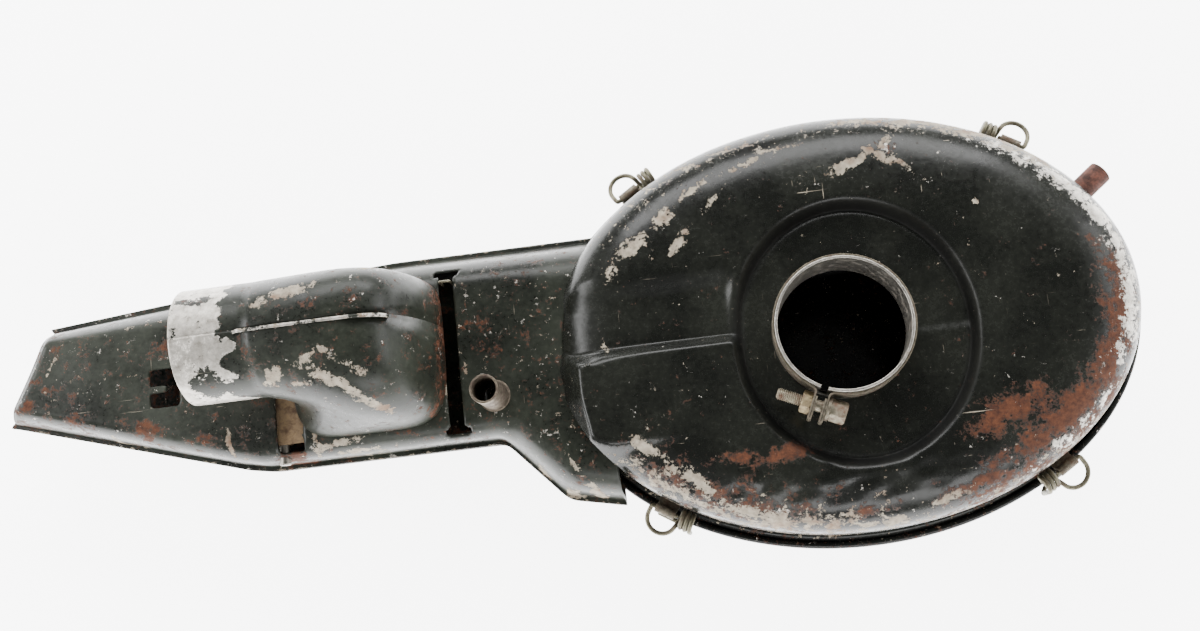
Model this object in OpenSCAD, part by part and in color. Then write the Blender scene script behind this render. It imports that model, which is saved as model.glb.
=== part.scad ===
// Oval air filter housing with an intake duct, a warm-air horn and a lid held by four wire clips.
// The origin is on the neck's axis at its mouth, and +Z points out of the neck.
// The duct points to -X, and the lid closes the casing from below.

/* [Neck and clamp] */
// Bore of the neck, which slips over the carburettor's air horn
neck_bore = 52; // [40:0.5:64]
// Sheet thickness of the neck
neck_sheet = 1.2; // [1:0.1:2]
// Height of the neck above the recess floor
neck_h = 20; // [16:1:30]
// Width of the clamp's band along the neck
clamp_band_w = 11; // [8:0.5:14]
// Direction of the clamp's gap, in degrees from +X
clamp_dir = 245.5; // [180:0.5:330]
// Thread diameter of the clamp's bolt
clamp_bolt_d = 5; // [4:0.5:6]

/* [Casing and lid] */
// Length of the oval casing
casing_l = 240; // [200:1:300]
// Width of the oval casing
casing_w = 173; // [150:1:215]
// Sheet thickness of the casing, the lid, the duct and the horn
sheet = 1; // [0.8:0.1:1.4]
// Depth of the recess round the neck
recess_depth = 6; // [3:0.5:7]
// Size of the casing's rounded shoulder
shoulder = 26; // [20:1:30]
// Height of the straight wall under the shoulder
wall_h = 10; // [8:1:16]
// Depth of the lid below its rim
lid_h = 34; // [28:1:44]
// Thickness of the lid's gasket
gasket_t = 3; // [2:0.5:4]

/* [Filter element] */
// Thickness of the pleated ring
pleat_t = 12; // [8:1:14]
// Gap between the casing wall and the pleated ring
filter_gap = 14; // [13:0.5:18]
// Height of the moulded seal on each end of the element
seal_h = 4; // [3:0.5:6]

/* [Duct and horn] */
// Length of the duct from the casing to its open end
duct_l = 255.5; // [215:0.5:310]
// Depth of the duct's front half
duct_front_h = 22; // [18:1:26]
// Depth of the duct's back half
duct_back_h = 11; // [8:1:16]
// Outer diameter of the warm-air horn
horn_d = 48; // [38:0.5:54]
// Length of the horn from its mouth to the middle of its hood
horn_l = 69.5; // [58:0.5:90]
// Length of the flap from its shaft
flap_l = 66; // [52:1:70]
// Diameter of the flap's shaft
flap_shaft_d = 5; // [4:0.5:7]

/* [Pipes and clips] */
// Outer diameter of the vent pipe
vent_d = 12; // [9:0.5:15]
// Outer diameter of the breather pipe
breather_d = 10; // [8:0.5:12]
// Wall of both pipes
pipe_wall = 1; // [0.8:0.1:1.5]
// Diameter of the clips' spring wire
wire_d = 2; // [1.6:0.1:2.5]
// Place of the four clips round the oval, in degrees from its long axis
clip_deg = 48.5; // [40:0.5:60]

/* [Hidden] */
$fn = 64;
eps = 0.01;
through = 200;               // longer than anything that a cut goes through

// clearances
seam_gap = 0.1;              // between sheets that are welded or crimped together
slip = 0.2;                  // between parts that are put together by hand
running = 0.05;              // round a pin that turns
soft_gap = 0.3;              // round a seal or the filter element

// heights
recess_z = -neck_h;
dome_z = recess_z + recess_depth;
shoulder_z = dome_z - shoulder;
rim_z = shoulder_z - wall_h;
rim_flange_w = 2.6;
casing_floor_z = rim_z - sheet;
lid_top_z = casing_floor_z - gasket_t;
lid_floor_z = lid_top_z - lid_h;

// the oval: its middle is off the neck's axis
oval_x = 2;
oval_y = 7;
oval_steps = 72;
semi_l = casing_l / 2;
semi_w = casing_w / 2;
west_x = oval_x - semi_l;

// lid rim
bead_r = 1.6;
bead_d = rim_flange_w + slip + bead_r + 0.6;
bead_z = lid_top_z - 0.2;
lid_wall_d = -2.5;
lid_corner = 10;

// neck
neck_r = neck_bore / 2;
neck_out_r = neck_r + neck_sheet;
neck_foot_w = 7;
neck_slit_w = 3;
neck_slit_h = clamp_band_w + 3;

// recess and pressed channel
recess_x = 5;
recess_y = -1;
recess_margin = 21.3;        // from the neck's outside to the recess wall, along X
recess_extra_w = 5.5;        // the recess is this much wider along Y
recess_flat_x = -(neck_out_r + 17.8);
channel_y0 = 0;
channel_y1 = 22;
channel_depth = 3;

// filter element
paper_out_d = -filter_gap;
paper_in_d = paper_out_d - pleat_t;
filter_top_z = recess_z - sheet - neck_sheet - soft_gap;
filter_floor_z = lid_floor_z + sheet + soft_gap;
mesh_t = 0.8;

// duct
duct_z = shoulder_z - 11;                         // plane where the halves meet
face_z = duct_z + duct_front_h;                   // top of the front half
duct_floor_z = duct_z - duct_back_h;
duct_flange_w = 3;
duct_tip_x = west_x - duct_l;
tip_cut = 12;

// horn
horn_r = horn_d / 2;
horn_y = 23.5;
horn_z = face_z + sheet + horn_r;
horn_hood_x = west_x - 79;                        // middle of the hood
horn_mouth_x = horn_hood_x - horn_l;
hood_x0 = horn_hood_x - 33;
hood_x1 = horn_hood_x + 33;
throat_x = hood_x0 - 6;                           // where the round horn runs into its hood
hood_y0 = horn_y - 41;
hood_y1 = horn_y + 23.5;
ridge_h = 2.5;
ridge_t = 2;

// flap
flap_sleeve_r = flap_shaft_d / 2 + 1.2;
flap_t = 1.2;
flap_x = hood_x0 - 10;
flap_z = face_z - sheet - 1.3 - flap_sleeve_r;
flap_y0 = -17;
flap_y1 = 46;
flap_shaft_y0 = -25.5;
flap_shaft_y1 = 51.5;

// slot across the duct
slot_x = west_x - 44.7;
slot_w = 6.5;
slot_y0 = -21;
slot_y1 = 49;
slot_end_w = 11;

// vent pipe and breather pipe
vent_x = west_x - 27.7;
vent_y = -7.6;
vent_h = 24;
vent_collar_r = vent_d / 2 + 2.3;
breather_dir = 37;
breather_z = shoulder_z - 2;
breather_l = 15;
breather_collar_r = breather_d / 2 + 1.5;
breather_deg = 29;

// clips: u is outward from the casing wall, z is height
wire_r = wire_d / 2;
coil_r = 3.6;
pivot_u = coil_r + wire_r + 1;
pivot_z = shoulder_z - 3;
hook_side = 62;                                   // where the hook meets the lid's bead
hook_reach = bead_r + wire_r + 0.1;
hook_u = bead_d + hook_reach * sin(hook_side);
hook_z = bead_z - hook_reach * cos(hook_side);
coil_turns = 3;
coil_pitch = wire_d + 0.1;
handle_w = 12.6;
knuckle_w = 9;
knuckle_r = wire_r + running + 1.1;
clip_angles = [clip_deg, 180 - clip_deg, 180 + clip_deg, 360 - clip_deg];

// colours
black_paint = "#2b2d2a";
bare_steel = "#a9a49b";
zinc = "#8c8574";
rust = "#6b4636";
rubber_black = "#1c1c1c";
paper_buff = "#c9a868";
olive_steel = "#6e6a55";

// ---- shapes that are used more than once ----

function oval(d, z) = [for (i = [0:oval_steps - 1]) let (a = i * 360 / oval_steps)
    [oval_x + (semi_l + d) * cos(a), oval_y + (semi_w + d) * sin(a), z]];

// Quarter of an oval bend in the [offset, height] plane, from angle a0 to a1
function bend(d, z, rd, rz, a0, a1, steps) =
    [for (i = [0:steps]) let (a = a0 + (a1 - a0) * i / steps) [d + rd * cos(a), z + rz * sin(a)]];

// Solid whose skin runs through one oval for each [offset, height], closed by a flat cap at each end
module oval_skin(profile) {
    n = oval_steps;
    m = len(profile);
    points = [for (p = profile) each oval(p[0], p[1])];
    sides = [for (j = [0:m - 2], i = [0:n - 1]) let (k = (i + 1) % n) each [
        [j * n + i, j * n + k, (j + 1) * n + k],
        [j * n + i, (j + 1) * n + k, (j + 1) * n + i]]];
    polyhedron(concat(points), concat(sides,
        [[for (i = [n - 1:-1:0]) i]], [[for (i = [0:n - 1]) (m - 1) * n + i]]));
}

// Upright oval tube between two offsets
module oval_tube(d_in, d_out, z0, z1) {
    n = oval_steps;
    points = concat(oval(d_out, z0), oval(d_out, z1), oval(d_in, z1), oval(d_in, z0));
    faces = [for (j = [0:3], i = [0:n - 1]) let (k = (i + 1) % n, u = (j + 1) % 4) each [
        [j * n + k, j * n + i, u * n + k], [j * n + i, u * n + i, u * n + k]]];
    polyhedron(points, faces);
}

// Outline moved inward by w, corner by corner, for an outline that runs anticlockwise
function unit(v) = v / norm(v);
function inward(a, b) = let (e = unit(b - a)) [-e[1], e[0]];
function inset(o, w) = [for (i = [0:len(o) - 1])
    let (n = len(o), a = inward(o[(i + n - 1) % n], o[i]), b = inward(o[i], o[(i + 1) % n]))
    o[i] + (a + b) * w / (1 + a * b)];

// The same outline with its first and last corner, at the duct's open end, drawn out by w
function open_tip(o, w) = let (n = len(o)) [for (i = [0:n - 1])
    i == 0 ? o[0] + unit(o[0] - o[1]) * w :
    i == n - 1 ? o[i] + unit(o[i] - o[i - 1]) * w : o[i]];

// Solid between two outlines with the same number of corners. Corner hub sees all the others.
module loft(lower, upper, z0, z1, hub) {
    n = len(lower);
    points = concat([for (p = lower) [p[0], p[1], z0]], [for (p = upper) [p[0], p[1], z1]]);
    sides = [for (i = [0:n - 1]) let (k = (i + 1) % n) each [[k, i, n + k], [i, n + i, n + k]]];
    caps = [for (i = [1:n - 2]) let (a = (hub + i) % n, b = (hub + i + 1) % n) each [
        [hub, a, b], [n + hub, n + b, n + a]]];
    polyhedron(points, concat(sides, caps));
}

// Flat plate with one outline
module plate(outline, z0, z1) {
    translate([0, 0, z0]) linear_extrude(z1 - z0) polygon(outline);
}

// Round bar between two points
module bar(a, b, r) {
    v = b - a;
    translate(a) rotate([0, acos(v[2] / norm(v)), atan2(v[1], v[0])]) cylinder(h = norm(v), r = r);
}

module along_x(x0, x1, r) {
    translate([x0, horn_y, horn_z]) rotate([0, 90, 0]) cylinder(h = x1 - x0, r = r);
}

module along_y(x, z, y0, y1, r) {
    translate([x, y1, z]) rotate([90, 0, 0]) cylinder(h = y1 - y0, r = r);
}

module block(x0, x1, y0, y1, z0, z1) {
    translate([x0, y0, z0]) cube([x1 - x0, y1 - y0, z1 - z0]);
}

// ---- casing ----

function shoulder_bend(d, z) = bend(d - shoulder, shoulder_z, shoulder, z - shoulder_z, 90, 0, 8);

// Outside of the casing, grown by w all round
module casing_outside(w) {
    oval_skin(concat(
        [for (p = shoulder_bend(w, dome_z + w)) p],
        [[w, rim_z + w], [rim_flange_w + w, rim_z + w], [rim_flange_w + w, casing_floor_z - w]]));
}

module recess_outline(w) {
    rx = neck_out_r + recess_margin + w;
    ry = rx + recess_extra_w;
    intersection() {
        translate([recess_x, recess_y])
            polygon([for (i = [0:59]) let (a = i * 6) [rx * cos(a), ry * sin(a)]]);
        translate([recess_flat_x - w, -through / 2]) square([through, through]);
    }
}

module channel_outline(w) {
    translate([west_x + shoulder / 2 - w, channel_y0 - w])
        square([recess_flat_x - west_x - shoulder / 2 + 2 * w, channel_y1 - channel_y0 + 2 * w]);
}

module pressed_cup(z) {
    translate([0, 0, z - sheet]) linear_extrude(dome_z - z + sheet) children(0);
}

module casing_shell() color(black_paint) difference() {
    union() {
        difference() {
            oval_skin(concat(
                shoulder_bend(0, dome_z),
                [[0, rim_z], [rim_flange_w, rim_z], [rim_flange_w, casing_floor_z], [-sheet, casing_floor_z]],
                bend(-shoulder, shoulder_z, shoulder - sheet, dome_z - sheet - shoulder_z, 0, 90, 8)));
            translate([0, 0, dome_z - sheet - eps]) linear_extrude(2 * sheet) {
                recess_outline(0);
                channel_outline(0);
            }
        }
        pressed_cup(recess_z) recess_outline(sheet);
        pressed_cup(dome_z - channel_depth) channel_outline(sheet);
    }
    translate([0, 0, recess_z]) linear_extrude(through) recess_outline(0);
    translate([0, 0, dome_z - channel_depth]) linear_extrude(through) channel_outline(0);
    translate([0, 0, recess_z - through / 2]) cylinder(h = through, r = neck_out_r + seam_gap);
    block(west_x - 20, west_x + 25, -19, 46, rim_z + 2, face_z - 2 * sheet);
    at_breather() translate([-through / 4, 0, 0]) rotate([0, 90, 0])
        cylinder(h = through / 2, r = breather_d / 2 + seam_gap);
}

// ---- neck and clamp ----

module carb_neck() color(bare_steel) difference() {
    rotate_extrude() polygon([
        [neck_r, 0], [neck_out_r, 0],
        [neck_out_r, recess_z - sheet - seam_gap],
        [neck_out_r + neck_foot_w, recess_z - sheet - seam_gap],
        [neck_out_r + neck_foot_w, recess_z - sheet - seam_gap - neck_sheet],
        [neck_r, recess_z - sheet - seam_gap - neck_sheet]]);
    rotate([0, 0, clamp_dir]) block(0, through, -neck_slit_w / 2, neck_slit_w / 2, -neck_slit_h, eps);
}

clamp_in_r = neck_out_r + seam_gap;
clamp_sheet = 1;
clamp_out_r = clamp_in_r + clamp_sheet;
clamp_top_z = -1;
clamp_mid_z = clamp_top_z - clamp_band_w / 2;
ear_gap = 3;
ear_t = 1.6;
ear_l = clamp_bolt_d + 7;
bolt_out = clamp_out_r + clamp_bolt_d / 2 + 2.7;
nut_af = 1.6 * clamp_bolt_d;
nut_h = 0.8 * clamp_bolt_d;
washer_t = 1.5;
bolt_head_h = 6.5;
bolt_tail = 17;
ear_fold = 3;

// Puts children in the clamp's own frame: X outward through the gap, Y along the bolt
module at_clamp() {
    rotate([0, 0, clamp_dir]) translate([0, 0, clamp_mid_z]) children();
}

module bolt_bar(y0, y1, r, sides) {
    translate([bolt_out, y0, 0]) rotate([-90, 0, 0]) cylinder(h = y1 - y0, r = r, $fn = sides);
}

module clamp_band() color(zinc) at_clamp() difference() {
    union() {
        difference() {
            translate([0, 0, -clamp_band_w / 2]) cylinder(h = clamp_band_w, r = clamp_out_r);
            block(0, through, -ear_gap / 2, ear_gap / 2, -clamp_band_w, clamp_band_w);
        }
        for (side = [-1, 1]) translate([0, side * (ear_gap + ear_t) / 2, 0])
            block(clamp_in_r, clamp_out_r + ear_l, -ear_t / 2, ear_t / 2, -clamp_band_w / 2, clamp_band_w / 2);
        block(clamp_out_r + ear_l - 1.5, clamp_out_r + ear_l, ear_gap / 2 + ear_t - eps,
            ear_gap / 2 + ear_t + ear_fold, -clamp_band_w / 2 + 1, clamp_band_w / 2 - 1);
    }
    translate([0, 0, -clamp_band_w]) cylinder(h = 2 * clamp_band_w, r = clamp_in_r);
    bolt_bar(-through / 2, through / 2, clamp_bolt_d / 2 + slip, 48);
}

washer_y = ear_gap / 2 + ear_t;
head_y = washer_y + washer_t;

module clamp_bolt() color(zinc) at_clamp() {
    bolt_bar(-bolt_tail, head_y + eps, clamp_bolt_d / 2, 48);
    bolt_bar(head_y, head_y + bolt_head_h, nut_af / sqrt(3), 6);
}

module clamp_nut() color(bare_steel) at_clamp() difference() {
    bolt_bar(-washer_y - nut_h, -washer_y, nut_af / sqrt(3), 6);
    bolt_bar(-through / 2, through / 2, clamp_bolt_d / 2 + running, 48);
}

module clamp_washer() color(bare_steel) at_clamp() difference() {
    bolt_bar(washer_y, head_y, clamp_bolt_d, 48);
    bolt_bar(-through / 2, through / 2, clamp_bolt_d / 2 + slip, 48);
}

// ---- lid and filter element ----

// One sheet: inner floor, up the inner wall, out along the rim, round the bead and back down outside
module lid() color(black_paint) oval_skin(concat(
    bend(lid_wall_d - lid_corner, lid_floor_z + lid_corner, lid_corner - sheet, lid_corner - sheet, -90, 0, 5),
    [[lid_wall_d - sheet, lid_top_z], [rim_flange_w, lid_top_z]],
    bend(bead_d, bead_z, bead_r, bead_r, 165, -155, 10),
    [[lid_wall_d, lid_top_z - sheet]],
    bend(lid_wall_d - lid_corner, lid_floor_z + lid_corner, lid_corner, lid_corner, 0, -90, 5)));

module lid_gasket() color(rubber_black)
    oval_tube(lid_wall_d + 1, rim_flange_w - 0.2, lid_top_z, casing_floor_z);

module filter_paper() color(paper_buff)
    oval_tube(paper_in_d, paper_out_d, filter_floor_z + seal_h, filter_top_z - seal_h);

module filter_mesh() color(bare_steel)
    oval_tube(paper_in_d - mesh_t, paper_in_d, filter_floor_z + seal_h, filter_top_z - seal_h);

module filter_seal(z0) color(rubber_black)
    oval_tube(paper_in_d - mesh_t - 1, paper_out_d + 1, z0, z0 + seal_h);

module filter_seal_neck() filter_seal(filter_top_z - seal_h);

module filter_seal_lid() filter_seal(filter_floor_z);

// ---- duct ----

duct_edge = [
    [duct_tip_x, 8], [west_x - 144, -24], [west_x - 132, -26.5], [west_x - 28, -26],
    [west_x - 3, -53], [west_x + 21, -58], [west_x + 38, -58], [west_x + 38, 59],
    [west_x - 12, 61], [west_x - 71, 61], [west_x - 180, 55.5], [duct_tip_x + 21, 51]];
duct_face = [
    [duct_tip_x + 18, 10.5], [west_x - 127, -23], [west_x - 110, -23.8], [west_x - 21, -23.4],
    [west_x + 2, -48], [west_x + 21, -52], [west_x + 38, -52], [west_x + 38, 48.5],
    [west_x - 12, 49.5], [west_x - 66, 50.6], [west_x - 171, 45.6], [duct_tip_x + 30, 42.5]];
duct_hub = 9;
duct_foot = inset(duct_edge, duct_flange_w);
pan_edge = [
    duct_foot[0], duct_foot[1], duct_foot[2], [west_x - 34, -23.2],
    [west_x - 34, 57.8], duct_foot[9], duct_foot[10], duct_foot[11]];
pan_hub = 5;
pan_floor = inset(pan_edge, 4);

// Keeps the duct clear of the casing, its rim, the gasket and the lid
module casing_room() {
    casing_outside(seam_gap);
    translate([0, 0, rim_z - 60]) linear_extrude(60 + seam_gap + eps) polygon([for (p = oval(4.5, 0)) [p[0], p[1]]]);
}

module duct_front() color(black_paint) difference() {
    union() {
        loft(duct_foot, duct_face, duct_z, face_z, duct_hub);
        plate(duct_edge, duct_z, duct_z + sheet);
    }
    loft(open_tip(inset(duct_foot, sheet), tip_cut), open_tip(inset(duct_face, sheet), tip_cut),
        duct_z - eps, face_z - sheet, duct_hub);
    casing_room();
    block(hood_x0 + 5, hood_x1 - 11, hood_y0 + 6, hood_y1 - 6, face_z - 2 * sheet, face_z + eps);
    window_cut();
    latch_cut();
    slot_cut();
    translate([vent_x, vent_y, face_z - through / 4]) cylinder(h = through / 2, r = vent_d / 2 + seam_gap);
    along_y(flap_x, flap_z, -through / 2, through / 2, flap_shaft_d / 2 + running);
}

module window_cut() block(hood_x0 - 11, hood_x0 + 1, -20.5, 4, face_z - 2 * sheet, face_z + eps);

module latch_cut() difference() {
    block(hood_x0 - 66.5, hood_x0 - 53, 5, 22, face_z - 2 * sheet, face_z + eps);
    block(hood_x0 - 67, hood_x0 - 59, 11.8, 14.2, face_z - 3 * sheet, face_z + 1);
}

module slot_cut() {
    block(slot_x - slot_w / 2, slot_x + slot_w / 2, slot_y0, slot_y1, face_z - 2 * sheet, face_z + eps);
    for (y = [slot_y0, slot_y1 - 2.5])
        block(slot_x - slot_end_w / 2, slot_x + slot_end_w / 2, y, y + 2.5, face_z - 2 * sheet, face_z + eps);
}

module duct_back() color(black_paint) difference() {
    union() {
        plate(duct_edge, duct_z - sheet, duct_z);
        loft(pan_floor, pan_edge, duct_floor_z, duct_z, pan_hub);
    }
    loft(open_tip(inset(pan_floor, sheet), tip_cut), open_tip(inset(pan_edge, sheet), tip_cut),
        duct_floor_z + sheet, duct_z + eps, pan_hub);
    casing_room();
}

// ---- horn ----

// Outside of the horn's hood, from its round throat to its footprint on the duct, grown by w
module hood(w, drop) hull() {
    translate([throat_x, horn_y, horn_z]) rotate([0, 90, 0])
        cylinder(h = 42, r = horn_r + w, $fn = 32);
    translate([horn_hood_x + 10, horn_y - 2, horn_z - 3]) sphere(r = horn_r - 3 + w, $fn = 24);
    translate([0, 0, face_z + seam_gap - drop]) linear_extrude(1.5) offset(r = 8 + w, $fn = 24)
        translate([hood_x0 + 8, hood_y0 + 8]) square([hood_x1 - hood_x0 - 16, hood_y1 - hood_y0 - 16]);
}

module horn_body() difference() {
    union() {
        hood(0, 0);
        along_x(horn_mouth_x, throat_x, horn_r);
    }
    hood(-sheet, 2);
    along_x(horn_mouth_x - 1, hood_x0 + 10, horn_r - sheet);
}

module horn_north() color(black_paint) intersection() {
    horn_body();
    block(horn_mouth_x - 5, hood_x1 + 5, horn_y + seam_gap / 2, through, -through, through);
}

module horn_south() color(black_paint) {
    intersection() {
        horn_body();
        block(horn_mouth_x - 5, hood_x1 + 5, -through, horn_y - seam_gap / 2, -through, through);
    }
    intersection() {
        difference() {
            hood(ridge_h, 0);
            hood(-sheet / 2, 2);
            along_x(horn_mouth_x - 1, hood_x0 + 10, horn_r - sheet / 2);
        }
        block(hood_x0 - 8, hood_x1 - 4, horn_y - seam_gap / 2 - ridge_t, horn_y - seam_gap / 2,
            horn_z, through);
    }
}

// ---- flap ----

module flap_plate() color(rust) difference() {
    union() {
        block(flap_x, flap_x + flap_l, flap_y0, flap_y1, flap_z + flap_sleeve_r - flap_t, flap_z + flap_sleeve_r);
        along_y(flap_x, flap_z, flap_y0, flap_y1, flap_sleeve_r);
    }
    along_y(flap_x, flap_z, flap_y0 - 1, flap_y1 + 1, flap_shaft_d / 2);
}

module flap_shaft() color(zinc)
    along_y(flap_x, flap_z, flap_shaft_y0, flap_shaft_y1, flap_shaft_d / 2);

// ---- pipes ----

module vent_pipe() color(bare_steel) translate([vent_x, vent_y, face_z]) difference() {
    union() {
        translate([0, 0, -3]) cylinder(h = vent_h + 3, r = vent_d / 2);
        translate([0, 0, seam_gap]) cylinder(h = 2, r = vent_collar_r);
    }
    translate([0, 0, -5]) cylinder(h = vent_h + 10, r = vent_d / 2 - pipe_wall);
}

// X runs out along the breather pipe from the casing's wall
module at_breather() {
    translate([oval_x + semi_l * cos(breather_deg), oval_y + semi_w * sin(breather_deg), breather_z])
        rotate([0, 0, breather_dir]) children();
}

module breather_pipe() color(rust) at_breather() rotate([0, 90, 0]) difference() {
    union() {
        translate([0, 0, -4]) cylinder(h = breather_l + 4, r = breather_d / 2);
        translate([0, 0, soft_gap]) cylinder(h = 2, r = breather_collar_r);
    }
    translate([0, 0, -5]) cylinder(h = breather_l + 10, r = breather_d / 2 - pipe_wall);
}

// Thin wire staple that hangs in the north end of the slot
staple_r = 0.6;

module slot_clip() color(olive_steel) {
    leg = slot_w / 2 - staple_r - 2 * slip;
    for (s = [-1, 1])
        bar([slot_x + s * leg, slot_y1 - 5, face_z - 5], [slot_x + s * leg, slot_y1 - 5, face_z + 2.5], staple_r);
    bar([slot_x - leg - 0.5, slot_y1 - 5, face_z + 2.5], [slot_x + leg + 0.5, slot_y1 - 5, face_z + 2.5],
        staple_r + 0.05);
}

// ---- clips ----

// Puts children at clip k: X outward from the wall, Y along the rim, coil towards the casing's middle
module at_clip(k) {
    a = clip_angles[k];
    turned = atan2(sin(a) / semi_w, cos(a) / semi_l);
    translate([oval_x + semi_l * cos(a), oval_y + semi_w * sin(a), 0]) rotate([0, 0, turned])
        mirror([0, k % 2 == 0 ? 1 : 0, 0]) children();
}

module strap(t0, t1, outline) {
    translate([0, t1, 0]) rotate([90, 0, 0]) linear_extrude(t1 - t0) polygon(outline);
}

module clip_bracket(k) color(zinc) at_clip(k) difference() {
    union() {
        strap(-knuckle_w / 2, knuckle_w / 2, [
            [seam_gap, rim_z + 1.2], [seam_gap + 1, rim_z + 1.2], [seam_gap + 1, pivot_z - knuckle_r - 1.8],
            [pivot_u, pivot_z - knuckle_r], [pivot_u, pivot_z - knuckle_r + 1],
            [seam_gap, pivot_z - knuckle_r - 0.8]]);
        translate([pivot_u, knuckle_w / 2, pivot_z]) rotate([90, 0, 0]) cylinder(h = knuckle_w, r = knuckle_r);
    }
    translate([pivot_u, through / 2, pivot_z]) rotate([90, 0, 0]) cylinder(h = through, r = wire_r + running);
}

// Points of a curve that cuts the corner at b, from w before it to w after it
function cut_corner(a, b, c, w) = let (p = b + unit(a - b) * w, q = b + unit(c - b) * w)
    [for (i = [0:4]) let (t = i / 4) (1 - t) * (1 - t) * p + 2 * t * (1 - t) * b + t * t * q];

// One sideways direction for each direction of a path, carried along it without twisting
function carried(along, v, i = 0) = i == len(along) ? [] :
    let (s = unit(v - along[i] * (along[i] * v))) concat([s], carried(along, s, i + 1));

// Bar with n flat sides that follows a path
module bent_bar(path, r, n) {
    m = len(path);
    along = [for (i = [0:m - 1]) unit(path[min(i + 1, m - 1)] - path[max(i - 1, 0)])];
    side = carried(along, [0, 0, 1]);
    points = [for (i = [0:m - 1], j = [0:n - 1]) let (a = 360 * j / n)
        path[i] + r * (cos(a) * side[i] + sin(a) * cross(along[i], side[i]))];
    sides = [for (i = [0:m - 2], j = [0:n - 1]) let (k = (j + 1) % n, a = i * n, b = a + n) each [
        [a + j, b + j, b + k], [a + j, b + k, a + k]]];
    polyhedron(points, concat(sides, [[for (j = [0:n - 1]) j]], [[for (j = [n - 1:-1:0]) (m - 1) * n + j]]));
}

// One wire: the pin in the knuckle, the finger loop, the coil, the arm and the hook under the lid's bead
module clip_wire(k) color(olive_steel) at_clip(k) {
    half = handle_w / 2;
    arm_u = pivot_u + coil_r;
    tight = 1.75 * wire_r;
    pin_end = [pivot_u, -knuckle_w / 2 - 0.6, pivot_z];
    pin = [pivot_u, half, pivot_z];
    loop_a = [arm_u + half, half, pivot_z];
    loop_b = [arm_u + half, -half, pivot_z];
    coil = [for (i = [1:12 * coil_turns]) let (a = 30 * i)
        [pivot_u + coil_r * cos(a), -half - coil_pitch * i / 12, pivot_z - coil_r * sin(a)]];
    coil_in = [pivot_u + coil_r / cos(30), -half, pivot_z];
    coil_out = coil[len(coil) - 1];
    foot = [arm_u, coil_out[1], hook_z];
    hook_a = [hook_u, foot[1] + 3, hook_z];
    hook_b = [hook_u, 3, hook_z];
    bent_bar(concat(
        [pin_end],
        cut_corner(pin_end, pin, loop_a, tight),
        cut_corner(pin, loop_a, loop_b, 3.2),
        cut_corner(loop_a, loop_b, coil_in, 3.2),
        cut_corner(loop_b, coil_in, coil[0], norm(coil[0] - coil_in)),
        [for (i = [1:len(coil) - 1]) coil[i]],
        cut_corner(coil_out, foot, hook_a, tight),
        cut_corner(foot, hook_a, hook_b, 1.2),
        [hook_b]), wire_r, 8);
}

casing_shell();
carb_neck();
clamp_band();
clamp_bolt();
clamp_nut();
clamp_washer();
lid();
lid_gasket();
filter_paper();
filter_seal_neck();
filter_seal_lid();
filter_mesh();
duct_front();
duct_back();
horn_north();
horn_south();
flap_plate();
flap_shaft();
vent_pipe();
breather_pipe();
slot_clip();
clip_bracket(0);  // clip_bracket_1
clip_bracket(1);  // clip_bracket_2
clip_bracket(2);  // clip_bracket_3
clip_bracket(3);  // clip_bracket_4
clip_wire(0);  // clip_wire_1
clip_wire(1);  // clip_wire_2
clip_wire(2);  // clip_wire_3
clip_wire(3);  // clip_wire_4
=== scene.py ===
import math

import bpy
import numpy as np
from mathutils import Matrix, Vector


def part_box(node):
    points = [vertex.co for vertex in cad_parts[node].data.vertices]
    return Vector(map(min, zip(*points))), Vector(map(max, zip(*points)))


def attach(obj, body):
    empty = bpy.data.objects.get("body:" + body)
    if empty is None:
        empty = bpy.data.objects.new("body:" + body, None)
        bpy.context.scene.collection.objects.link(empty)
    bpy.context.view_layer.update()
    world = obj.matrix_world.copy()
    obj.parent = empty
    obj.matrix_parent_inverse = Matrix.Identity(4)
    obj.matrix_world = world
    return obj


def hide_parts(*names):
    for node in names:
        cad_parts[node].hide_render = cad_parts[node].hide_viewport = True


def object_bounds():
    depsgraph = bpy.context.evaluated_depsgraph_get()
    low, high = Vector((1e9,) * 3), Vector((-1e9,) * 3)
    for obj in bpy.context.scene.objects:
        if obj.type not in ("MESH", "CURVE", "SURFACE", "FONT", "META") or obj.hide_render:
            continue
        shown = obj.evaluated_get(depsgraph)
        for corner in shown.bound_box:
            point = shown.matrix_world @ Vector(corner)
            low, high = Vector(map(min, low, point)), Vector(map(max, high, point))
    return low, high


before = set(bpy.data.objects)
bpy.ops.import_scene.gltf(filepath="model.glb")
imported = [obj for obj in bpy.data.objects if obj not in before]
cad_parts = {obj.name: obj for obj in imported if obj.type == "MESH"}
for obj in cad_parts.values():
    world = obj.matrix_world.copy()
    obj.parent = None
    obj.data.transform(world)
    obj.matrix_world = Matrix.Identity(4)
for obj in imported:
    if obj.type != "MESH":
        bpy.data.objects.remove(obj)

# %% [markdown]
# # An oval air filter housing, pressed from sheet steel
#
# The real object is a handful of thin black-painted pressings: an oval casing with a round neck, a lid held
# by four wire clips, a flat intake duct and a warm-air horn on top of it. A thin pressing could be modelled
# by hand, but a pressing is really a rule: a profile that follows an outline. So each one is written as a
# function of two parameters on a grid, worked out with whole numpy arrays, and Solidify gives it its sheet
# thickness. Lengths are in millimetres until the moment a mesh is made.

MM = 0.001
cad_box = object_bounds()


def box_mm(node):
    """Lowest and highest corner of a CAD node, in millimetres."""
    low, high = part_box(node)
    return np.array(low) / MM, np.array(high) / MM


shell_lo, shell_hi = box_mm("casing_shell")
print("casing", shell_hi - shell_lo)

# %% [markdown]
# ## Small tools
#
# A grid of points becomes a mesh of four-sided faces. Going through `foreach_set` keeps this quick, because
# numpy hands the whole array over at once. Extra per-point numbers, such as how worn the paint is, travel
# with the mesh as attributes that a material can read.


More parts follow.
